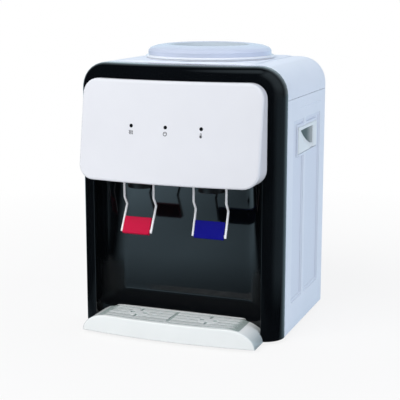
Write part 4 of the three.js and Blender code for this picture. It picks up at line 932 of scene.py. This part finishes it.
def copied(name, mesh, columns, column_step, rows, row_step, finish):
    """An object of copies of a mesh, which is where the first copy stands."""
    obj = bare_object(name, mesh)
    change = obj.modifiers.new("copies", "NODES")
    change.node_group = COPIES
    values = {
        "Columns": columns, "Column step": [c * MM for c in column_step],
        "Rows": rows, "Row step": [c * MM for c in row_step], "Finish": finish,
    }
    for item in COPIES.interface.items_tree:
        if item.in_out == "INPUT" and item.name in values:
            change[item.identifier] = values[item.name]
    return evaluated(obj)


# ---- drip tray ----------------------------------------------------------------------------

tray_low, tray_high = corners("drip_tray")
grille_low, grille_high = corners("drip_grille")
TRAY_BOW = 9
TRAY_EDGE = 1.8
TRAY_END = 38
TRAY_LIP = 0.8
TRAY_REAR_EDGE = 0.6
GRILLE_SLOTS = 5
SLOT_WIDE = 3.4
SLOT_MARGIN = 3
SLOT_CORNER = 1.2
CELL_DEPTH = 1.4
DISC_RADIUS = 14
HOLE_RADIUS, HOLE_APART = 3.4, 9
CHANNEL_HALF = 1.9
CHANNEL_NEAR, CHANNEL_FAR = 7, 18.3
MIDDLE_HALF = 2.4


def tray_front(x):
    return tray_low.y + bowed(x, tray_high.x, TRAY_BOW)


def tray_drop(x):
    """How far the tray's rounded ends fall below its top."""
    share = max(0.0, abs(x) - (tray_high.x - TRAY_END)) / TRAY_END
    return (tray_high.z - BASE) * (1 - math.sqrt(1 - min(1.0, share) ** 2))


def drawn_out(x, radius):
    """Widens a round end from its radius to the tray's own."""
    half = tray_high.x
    if abs(x) < half - radius:
        return x * (half - TRAY_END) / (half - radius)
    return math.copysign(half - (half - abs(x)) * TRAY_END / radius, x)


def grille_front(x):
    return grille_low.y + bowed(x, tray_high.x, TRAY_BOW)


def grille_outline(grow):
    """The grille's outline, grown all round. Its front is bowed like the tray's."""
    half, rear = grille_high.x + grow, grille_high.y + grow
    corner = 2.5 + grow if grow > -2 else 2
    front = [(x, grille_front(x) - grow, corner if abs(x) == half else 0) for x in spaced(-half, half, 24)]
    return softened(front + [(half, rear, corner), (-half, rear, corner)], 3)


def make_tray():
    height = tray_high.z - BASE
    shoulder = bezel_front(OPENING_HALF) - 1.2
    base_low, base_high = corners("base_plate")
    tongue, over = base_low.y - GAP, base_high.z + GAP
    outline = arch(tray_high.x, BASE, tray_high.z, height, [0], spaced(-1, 1, 40), 20)
    outline = [(drawn_out(x, height), z, nx, nz) for x, z, nx, nz in outline]
    lip = BASE + TRAY_LIP

    def point(x, z, y):
        """Keeps the tray inside the opening, and its tongue above the base plate."""
        if y > shoulder:
            x = max(GAP - OPENING_HALF, min(OPENING_HALF - GAP, x))
        return (x, y, max(z, over) if y > tongue else z)

    foot = [(x, tray_front(x) + TRAY_LIP, BASE) for x, _, _, _ in outline]
    rows = [foot] + [[(x, tongue, z) for x, _, _, _ in outline] for z in (BASE, over)]
    rows.append([point(x, over, tray_high.y) for x, _, _, _ in outline])
    rear = tray_high.y
    for y, inset in ((rear, TRAY_REAR_EDGE), (rear - TRAY_REAR_EDGE, 0), (tongue + 0.01, 0), (tongue, 0),
                     (shoulder + 0.01, 0), (shoulder, 0)):
        rows.append([point(x - nx * inset, z - nz * inset, y) for x, z, nx, nz in outline])
    for share in (0.25, 0.5, 0.75):
        rows.append([(x, mix(shoulder, tray_front(x) + TRAY_EDGE, share), z) for x, z, _, _ in outline])
    for inset, deep in quarter(TRAY_EDGE, 5):
        row = inset_row(outline, inset, lambda x, z: tray_front(x) + deep)
        rows.append([(x, y, max(z, BASE)) for x, y, z in row])
    for share in (0.35, 0.7, 1):
        rows.append([(x, tray_front(x), mix(z, lip, share) if z > lip else z) for x, _, z in rows[-1]])
    tray = bare_object("drip_tray_body", skin(rows + [foot]), (0, 0, 1))
    above = tray_high.z + 5
    ledge = plate(grille_outline(GAP), grille_low.z - GAP, above)
    basin = plate(grille_outline(-4), over + 3, above)
    carve(tray, ledge, basin)
    soft_edges(tray, 0.5)
    dressed(tray, "drip_tray", finish=TRAY_WHITE)


def slot_row(side, share):
    """A slot's outline: the front one follows the bowed front, the rear one is straight."""
    spans = spaced(2.2, grille_high.x - 5, 10)
    radii = [SLOT_CORNER] + [0] * 9 + [SLOT_CORNER]
    rear = grille_high.y - SLOT_WIDE - SLOT_MARGIN
    outline = []
    for line, deep in ((spans, 0), (reversed(spans), SLOT_WIDE)):
        outline += [(side * x, mix(grille_front(x) + SLOT_MARGIN, rear, share) + deep, radius)
                    for x, radius in zip(line, radii)]
    return softened(outline, 3)


def make_grille():
    low, high = grille_low.z, grille_high.z
    first = grille_low.y + TRAY_BOW + 2
    last = grille_high.y - 2
    obj = bare_object("grille", plate(grille_outline(0), low, high, 0.5))
    slots = bmesh.new()
    for row in range(GRILLE_SLOTS):
        for side in (-1, 1):
            merge(slots, plate(slot_row(side, row / (GRILLE_SLOTS - 1)), low - 2, high + 2))
    carve(obj, slots)
    middle = (first + last) / 2
    bottom, above = high - CELL_DEPTH, high + 3
    discs, cells = bmesh.new(), bmesh.new()
    for tap in ("hot_tap_bonnet", "cold_tap_bonnet"):
        x = sum(c.x for c in corners(tap)) / 2
        merge(discs, rod((x, middle, 0), "z", DISC_RADIUS, low, high + 0.15, 0.5, 48))
        for side in (-1, 1):
            merge(cells, rod((x + side * HOLE_APART, middle, 0), "z", HOLE_RADIUS, bottom, above, 0, 24))
            near, far = sorted((middle + side * CHANNEL_NEAR, middle + side * CHANNEL_FAR))
            merge(cells, block((x - CHANNEL_HALF, near, bottom), (x + CHANNEL_HALF, far, above)))
    merge(cells, block((-MIDDLE_HALF, first - 4, high - 1), (MIDDLE_HALF, last, above)))
    carve(obj, discs.copy(), cells.copy())
    disc = carve(bare_object("targets", discs), cells)
    both = bmesh.new()
    for part in (obj, disc):
        soft_edges(part, 0.4)
        both.from_mesh(part.data)
    for v in both.verts:
        drop = tray_drop(v.co.x / MM) / (high - low)
        v.co.z = low * MM + (v.co.z - low * MM) * (1 - drop)
    both.to_mesh(obj.data)
    both.free()
    bpy.data.objects.remove(disc)
    dressed(obj, "drip_grille", finish=GRILLE_WHITE)


# The grille is painted grey-green inside its slots: painted shade below the top face.
slot_edge = grille_high.z - 0.3
overlaid(GRILLE_WHITE, "#b2bfbb", (share_of(GRILLE_WHITE, "Z"), slot_edge * MM, (slot_edge - 0.5) * MM))
make_tray()
make_grille()


# ---- taps and levers ----------------------------------------------------------------------

SPRING_TURNS = 5
SPRING_WIRE = 0.6
LEVER_WIRE = 1.5
CROSS_WIRE = 1.2
LEVER_STUB = 11.8
PIVOT_BACK = 7.5
SHOULDER_DROP = 13
KNEE_BACK, KNEE_DROP = 8, 11
PADDLE_LOW, PADDLE_HIGH, PADDLE_HALF_THICK = -2.4, 20.6, 2.5


def placed(mesh, place, lean):
    """The mesh leant about X by an angle in radians and carried to its place."""
    mesh.transform(Matrix.Translation(place) @ Matrix.Rotation(lean, 4, "X"))
    return mesh


def rectangle(low, high):
    return [(low[0], low[1]), (high[0], low[1]), (high[0], high[1]), (low[0], high[1])]


def make_tap(word):
    low, high = corners(word + "_tap_body")
    bonnet_low, bonnet_high = corners(word + "_tap_bonnet")
    x, y, _ = (bonnet_low + bonnet_high) / 2
    top, bore_end = bonnet_low.z - GAP, low.z + 10
    outline = [
        (6, low.z + 3, 0.5), (15, low.z + 3, 0.8), (15, low.z, 0.6), (18, low.z, 1),
        (18, top, 1.2), (12, top, 0.5), (12, bore_end, 0.5), (6, bore_end, 0.5),
    ]
    mesh = turned(outline, (x, y, 0))
    flange = corners(word + "_tap_gasket")[0].y - GAP
    shank = (8, y + 14, high.y - 8, 0.4, 32), (3.9, high.y - 9, high.y, 0.4, 24)
    for part in (*shank, (13, flange - 2.5, flange, 0.6, 48)):
        merge(mesh, rod((x, 0, low.z + 19), "y", *part))
    made(word + "_tap", mesh, word + "_tap_body")
    bottom, top = bonnet_low.z, bonnet_high.z
    outline = [(2.8, bottom, 0.3), (16, bottom, 0.5), (16, top, 1.4), (2.8, top, 0.5)]
    mesh = grooved(turned(outline, (x, y, 0)), (x, y), (0, 1), 15, 0.02, 32)
    made(word + "_bonnet", mesh, word + "_tap_bonnet")


def make_spring(word):
    """The tap's coil, with its ends wound flat."""
    low, high = corners(word + "_tap_spring")
    centre = (low + high) / 2
    radius = (high.x - low.x) / 2 - SPRING_WIRE
    line = []
    for share in spaced(0, 1, 24 * SPRING_TURNS):
        angle = math.tau * SPRING_TURNS * share
        climb = max(0.0, min(1.0, (share - 0.1) / 0.8))
        line.append((centre.x + radius * math.cos(angle), centre.y + radius * math.sin(angle),
                     mix(low.z + SPRING_WIRE, high.z - SPRING_WIRE, climb)))
    spring = made(word + "_spring", tube(line, SPRING_WIRE, 10), word + "_tap_spring")
    joint = next(joint for joint in frame["joints"] if joint["name"] == word + "_valve_lift")
    height = (high.z - low.z) * MM
    keep = (height - max(joint["range_m"])) / height
    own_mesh(spring)


def make_lever(word):
    low, high = corners(word + "_lever")
    left, right = low.x + LEVER_WIRE, high.x - LEVER_WIRE
    centre = (left + right) / 2
    pivot = Vector((0, corners(word + "_tap_bonnet")[0].y + PIVOT_BACK, high.z - LEVER_WIRE))
    shoulder = corners(word + "_tap_body")[0].z - SHOULDER_DROP
    knee = Vector((0, pivot.y + KNEE_BACK, shoulder - KNEE_DROP))
    foot = Vector((0, low.y + 1.7, low.z + LEVER_WIRE))
    cross = foot + (knee - foot).normalized() * 3
    mesh = tube([(left, *cross.yz), (right, *cross.yz)], CROSS_WIRE)
    for x, stub in ((left, centre - LEVER_STUB), (right, centre + LEVER_STUB)):
        route = [(stub, *pivot.yz, 0), (x, *pivot.yz, 2.5), (x, pivot.y, shoulder, 4),
                 (x, *knee.yz, 1.6), (x, *foot.yz, 0)]
        merge(mesh, tube(softened(route, 5, closed=False), LEVER_WIRE))
    made(word + "_lever_wire", mesh, word + "_lever")
    half = (right - left) / 2 - 1.8
    outline = rounded(rectangle((-half, PADDLE_LOW), (half, PADDLE_HIGH)), 1.4)
    mesh = plate(outline, -PADDLE_HALF_THICK, PADDLE_HALF_THICK, 0.9, 4, "y")
    lean = math.atan2(knee.y - foot.y, knee.z - foot.z)
    made(word + "_paddle_plate", placed(mesh, (centre, *foot.yz), -lean), word + "_paddle")


for word in ("hot", "cold"):
    make_tap(word)
    make_spring(word)
    make_lever(word)


# ---- lamps and signs ----------------------------------------------------------------------

LAMP_Z = panel_high.z - 56.5
SIGN_Z = LAMP_Z - 8
SIGN_X = 47
BOLD, FINE = 0.85, 0.45
BULB_RADIUS = 1.5
STEAM_HEIGHT, STEAM_WAVE = 4.8, 0.5


def make_lamp(name):
    low, high = corners(name)
    x = (low.x + high.x) / 2
    outline = [(0, 1, 0), (1.3, 0.85, 1), (2.1, 0.45, 1), (2.5, -0.2, 0.5), (2.5, -3, 0.2), (0, -3, 0)]
    lean = math.radians(90) - math.atan(PANEL_LEAN)
    made(name + "_lens", placed(turned(outline, sides=32), (x, panel_face(x, LAMP_Z), LAMP_Z), lean), name)


def stroke(mesh, line, width, closed=False):
    """A printed line of a width on the front panel, through (x, z) points."""
    points = [Vector(p) for p in line]
    count = len(points)
    rows = []
    for k, p in enumerate(points):
        before = points[k - 1] if k or closed else p
        after = points[(k + 1) % count] if k < count - 1 or closed else p
        side = (after - before).normalized().orthogonal() * width / 2
        rows.append([(q.x, panel_face(q.x, q.y) - 0.05, q.y) for q in (p + side, p - side)])
    merge(mesh, skin(rows + rows[:1] if closed else rows))


def make_signs():
    """Small signs under the lamps: rising heat, the power mark and a thermometer."""
    mesh = bmesh.new()
    for shift in (-2, 0, 2):
        stroke(mesh, [(shift - SIGN_X + STEAM_WAVE * math.sin(4 * math.pi * t),
                       SIGN_Z + STEAM_HEIGHT * (t - 0.5)) for t in spaced(0, 1, 16)], BOLD)
    stroke(mesh, arc(0, SIGN_Z, 2.3, 120, 420, 28), BOLD)
    stroke(mesh, [(0, SIGN_Z + 0.4), (0, SIGN_Z + 3)], BOLD)
    bulb, neck, top = SIGN_Z - 1.3, SIGN_Z - 0.1, SIGN_Z + 2
    left, right = SIGN_X - BOLD, SIGN_X + BOLD
    stroke(mesh, arc(SIGN_X, bulb, 0.55, 0, 360, 16)[:-1], 1.1, closed=True)
    stroke(mesh, arc(SIGN_X, bulb, BULB_RADIUS, 125, 415, 24), FINE)
    stroke(mesh, [(left, neck), *arc(SIGN_X, top, BOLD, 180, 0, 8), (right, neck)], FINE)
    stroke(mesh, [(SIGN_X, bulb), (SIGN_X, SIGN_Z + 1.3)], FINE)
    made("lamp_signs", mesh, finish=PRINT_INK, slot="black_plastic")


for name in ("lamp_hot", "lamp_power", "lamp_warm"):
    make_lamp(name)
make_signs()


# ---- rear and underside -------------------------------------------------------------------

rear_low, rear_high = corners("rear_panel")
REAR_FACE = rear_high.y + GAP
VENT_LOW, VENT_HIGH = (-90, 120), (-20, 125)
VENT_COLUMNS, VENT_COLUMN_STEP = 2, 110
VENT_ROWS, VENT_ROW_STEP = 9, 14


def four(word, *places):
    """The names of four alike pieces, which stand left and right at two places."""
    return [f"{word}_{place}_{side}" for place in places for side in ("left", "right")]


def make_rear_panel():
    outline = rectangle(rear_low.xz, rear_high.xz)
    cover = bare_object("rear_cover", plate(outline, rear_low.y, rear_high.y, 0.5, 2, "y"))
    slot = rounded(rectangle(VENT_LOW, VENT_HIGH), 2.4)
    vent = plate(slot, rear_low.y - 3, rear_high.y + 3, 0, 1, "y")
    column_step, row_step = (VENT_COLUMN_STEP, 0, 0), (0, 0, VENT_ROW_STEP)
    carve(cover, copied("vents", vent, VENT_COLUMNS, column_step, VENT_ROWS, row_step, None))
    soft_edges(cover, 0.4)
    dressed(cover, "rear_panel")


def make_screws():
    low, high = corners("rear_screw_low_left")
    far = corners("rear_screw_top_right")[0]
    x, z = (low.x + high.x) / 2, (low.z + high.z) / 2
    face, under = high.y, high.y - 2
    outline = [(0, face, 0), (2, face, 1), (4, face - 1, 0.7), (4, under, 0.2), (1.8, under, 0.2),
               (1.8, low.y, 0.6), (0, low.y, 0)]
    screw = bare_object("screw", turned(outline, (x, 0, z), "y", 32))
    for wide, tall in ((2.4, 0.5), (0.5, 2.4)):
        carve(screw, block((x - wide, face - 1.3, z - tall), (x + wide, face + 1, z + tall), 0.1, 1))
    mesh = bmesh.new()
    mesh.from_mesh(screw.data)
    bpy.data.objects.remove(screw)
    mesh.transform(Matrix.Scale(1 / MM, 4))
    zinc = FINISHES["zinc_steel"]
    screws = copied("rear_screws", mesh, 2, (far.x - low.x, 0, 0), 2, (0, 0, far.z - low.z), zinc)
    dressed(screws, *four("rear_screw", "low", "top"))


def make_switch():
    low, high = corners("switch_housing")
    x, z = (low.x + high.x) / 2, (low.z + high.z) / 2
    body = bare_object("switch_body", block((low.x, high.y - 1.7, low.z), high, 0.6, 3))
    carve(body, block((x - 4.9, high.y - 1.5, z - 8.6), (x + 4.9, high.y + 1, z + 8.6), 0.3))
    dressed(body, "switch_housing")
    face = [(6.5, 0.3, 7.2), (7.2, 0.4, 6.4), (6.6, 4, 3)]
    outline = [(-3, -7.2, 0.3)] + [(deep, -across, radius) for deep, radius, across in face]
    outline += [(6.2, 0, 6)] + [(deep, across, radius) for deep, radius, across in reversed(face)]
    outline += [(-3, 7.2, 0.3)]
    mesh = plate(softened(outline, 3), -4.6, 4.6, 0.5, 3, "x")
    made("switch_key", placed(mesh, (x, high.y - 6, z), math.radians(-8)), "switch_rocker")


def make_drain():
    low, high = corners("drain_spout")
    centre = (0, 0, (low.z + high.z) / 2)
    shank_end = low.y + 6.5
    line = [(2.6, low.y), (3.9, low.y), (3.9, shank_end), (6.2, shank_end), (6.2, REAR_FACE),
            (11, REAR_FACE), (11, REAR_FACE + 1.7), (6.2, REAR_FACE + 1.7)]
    for y in spaced(REAR_FACE + 2, REAR_FACE + 5, 4):
        line += [(6.2, y), (6.2, y + 0.2), (5.75, y + 0.38), (5.75, y + 0.56)]
    line += [(6, high.y), (2.6, high.y)]
    made("drain_tail", turned([(*p, 0) for p in line], centre, "y", 48), "drain_spout")
    low, high = corners("drain_cap")
    floor = high.y - 1.3
    outline = [(6.5, low.y, 0.3), (9.5, low.y, 0.4), (9.5, high.y, 1.2), (0, high.y, 0), (0, floor, 0),
               (6.5, floor, 0.4)]
    mesh = grooved(turned(outline, centre, "y", 96), centre[::2], (0, 2), 8.9, 0.035, 24)
    made("drain_plug_cap", mesh, "drain_cap")


def make_gland():
    low, high = corners("cord_gland")
    centre = ((low.x + high.x) / 2, 0, (low.z + high.z) / 2)
    outline = [(3.8, low.y, 0.3), (7.1, low.y, 0.3), (7.1, REAR_FACE, 0.3), (10, REAR_FACE, 0.4),
               (10, high.y - 1, 0.7), (7.5, high.y, 0.8), (3.8, high.y, 0.6)]
    made("cord_bushing", turned(outline, centre, "y", 48), "cord_gland")


def make_feet():
    low, high = corners("foot_front_left")
    far = corners("foot_rear_right")[0]
    top = BASE - GAP
    outline = [(0, 0, 0), (8, 0, 0.1), (8, 0.4, 0.1), (9, 0.4, 0.1), (9, 0, 0.1), (11, 0, 1),
               (11, top, 0.4), (4, top, 0.2), (4, high.z, 0.6), (0, high.z, 0)]
    mesh = turned(outline, ((low.x + high.x) / 2, (low.y + high.y) / 2, 0), "z", 48)
    rubber = FINISHES["black_rubber"]
    feet = copied("rubber_feet", mesh, 2, (far.x - low.x, 0, 0), 2, (0, far.y - low.y, 0), rubber)
    dressed(feet, *four("foot", "front", "rear"))


make_rear_panel()
make_screws()
make_switch()
make_drain()
make_gland()
make_feet()
for name, node in frame["nodes"].items():
    node.data.materials.clear()
    node.data.materials.append(FINISHES[SLOT_OF[name]])


# ---- studio -------------------------------------------------------------------------------


def shown_by_ray(tree, output, plain, seen, share, mirrored):
    """The camera sees a share of one shader, gloss and glass show another, and the rest is plain."""
    ray = add(tree, "ShaderNodeLightPath").outputs
    seen_share = reckoned(tree, "MULTIPLY", ray["Is Camera Ray"], share)
    gloss_share = reckoned(tree, "MAXIMUM", ray["Is Glossy Ray"], ray["Is Transmission Ray"])
    first = add(tree, "ShaderNodeMixShader", None, {"Fac": seen_share, 1: plain, 2: seen}).outputs[0]
    last = add(tree, "ShaderNodeMixShader", None, {"Fac": gloss_share, 1: first, 2: mirrored})
    tree.links.new(last.outputs[0], tree.nodes[output].inputs["Surface"])


def make_floor():
    """A pale floor, white to the camera but for the object's shadow. What shines shows pools of
    bluish light on it: two in front, one to the right and a wide one behind."""
    data = bpy.data.meshes.new("floor")
    data.from_pydata([(-4, -1.2, 0), (4, -1.2, 0), (4, 6, 0), (-4, 6, 0)], [], [(0, 1, 2, 3)])
    floor = bpy.data.objects.new("floor", data)
    bpy.context.scene.collection.objects.link(floor)
    paint, tree, shader, place = material("studio_floor")
    shader["Base Color"].default_value = linear("#dcdcdc")
    shader["Roughness"].default_value = 0.9
    shader["Specular IOR Level"].default_value = 0.1
    split = add(tree, "ShaderNodeSeparateXYZ", None, {"Vector": place}).outputs
    across, along = split["X"], split["Y"]
    # In front: a broad pool on the left and a nearer one, both cut off along a slant.
    pool = reckoned(tree, "MULTIPLY", (across, -0.5, -0.2, 1.5, 0), (along, -0.85, -0.4, 1, 0))
    near = reckoned(tree, "MULTIPLY", (across, -0.15, 0.2, 1, 0), (along, -0.4, -0.12, 1, 0.1),
                    (along, -0.95, -0.5, 0.42, 1))
    slant = add(tree, "ShaderNodeVectorMath", {"operation": "DOT_PRODUCT"}, {0: place, 1: (1, -0.45, 0)})
    both = reckoned(tree, "ADD", pool, near)
    front = reckoned(tree, "MULTIPLY", both, (slant.outputs["Value"], -0.25, -0.12))
    # To the right and behind: by the bearing from the body's front right corner.
    off = {0: place, 1: (0.1, -0.1, 0)}
    away = add(tree, "ShaderNodeVectorMath", {"operation": "SUBTRACT"}, off).outputs[0]
    way = add(tree, "ShaderNodeVectorMath", {"operation": "NORMALIZE"}, {0: away}).outputs[0]
    bearing = add(tree, "ShaderNodeSeparateXYZ", None, {"Vector": way}).outputs["Y"]
    right = reckoned(tree, "MULTIPLY", (across, 0.27, 0.45), (bearing, -0.57, -0.14, 0.02, 0.27))
    shine = reckoned(tree, "MAXIMUM", front, right, (bearing, 0.45, 0.85))
    far = add(tree, "ShaderNodeVectorMath", {"operation": "LENGTH"}, {0: place}).outputs["Value"]
    share = reckoned(tree, "MULTIPLY", (far, 0.3, 1.0, 0.85, 1))
    glow = add(tree, "ShaderNodeEmission", None, {"Color": (0.6, 0.85, 1, 1), "Strength": shine})
    white = add(tree, "ShaderNodeEmission", None, {"Strength": 1.0})
    plain = tree.nodes["Principled BSDF"].outputs[0]
    shown_by_ray(tree, "Material Output", plain, white.outputs[0], share, glow.outputs[0])
    data.materials.append(paint)


def make_world():
    """Even daylight, white to the camera. What shines shows a bright bluish backdrop behind, a dark
    room in front, and panels of light above and to the right."""
    world = bpy.data.worlds.new("studio")
    bpy.context.scene.world = world
    world.use_nodes = True
    tree = world.node_tree
    soft = tree.nodes["Background"]
    soft.inputs["Color"].default_value = linear("#eef2fa")
    soft.inputs["Strength"].default_value = 0.55
    white = add(tree, "ShaderNodeBackground", None, {"Color": (1, 1, 1, 1), "Strength": 1.0})
    way = add(tree, "ShaderNodeTexCoord").outputs["Generated"]
    across, along, up = add(tree, "ShaderNodeSeparateXYZ", None, {"Vector": way}).outputs
    upright = add(tree, "ShaderNodeVectorMath", {"operation": "MULTIPLY"}, {0: way, 1: (1, 0, 1)}).outputs[0]
    aside = add(tree, "ShaderNodeVectorMath", {"operation": "LENGTH"}, {0: upright}).outputs["Value"]
    backdrop = reckoned(tree, "MULTIPLY", (along, 0.45, 0.85), (across, -0.75, -0.45, 0.6, 1))
    side = reckoned(tree, "MULTIPLY", (aside, 0.8, 0.99, 0.02, 0.36), (across, 0.1, 0.4),
                    (up, 0, 0.25, 0.8, 1.6))
    room = reckoned(tree, "MAXIMUM", backdrop, side, (up, 0.94, 1, 0, 0.6))
    shown = add(tree, "ShaderNodeBackground", None, {"Color": (0.72, 0.9, 1, 1), "Strength": room})
    shown_by_ray(tree, "World Output", soft.outputs[0], white.outputs[0], 1, shown.outputs[0])


def softbox(name, place, size, watts, colour="#ffffff"):
    """A square lamp that looks at the middle of the object and doesn't show in its gloss."""
    data = bpy.data.lights.new(name, "AREA")
    data.shape = "RECTANGLE"
    data.size = data.size_y = size
    data.energy = watts
    data.color = linear(colour)[:3]
    lamp = bpy.data.objects.new(name, data)
    lamp.location = place
    lamp.rotation_euler = (Vector((0, 0, 0.18)) - lamp.location).to_track_quat("-Z", "Y").to_euler()
    lamp.visible_glossy = False
    bpy.context.scene.collection.objects.link(lamp)


make_floor()
make_world()
softbox("key", (-0.75, -1.85, 2.15), size=1.7, watts=55)
softbox("fill", (2.35, 0.3, 0.7), size=1.3, watts=18, colour="#e2ebfc")
bpy.context.scene.view_settings.view_transform = "Standard"
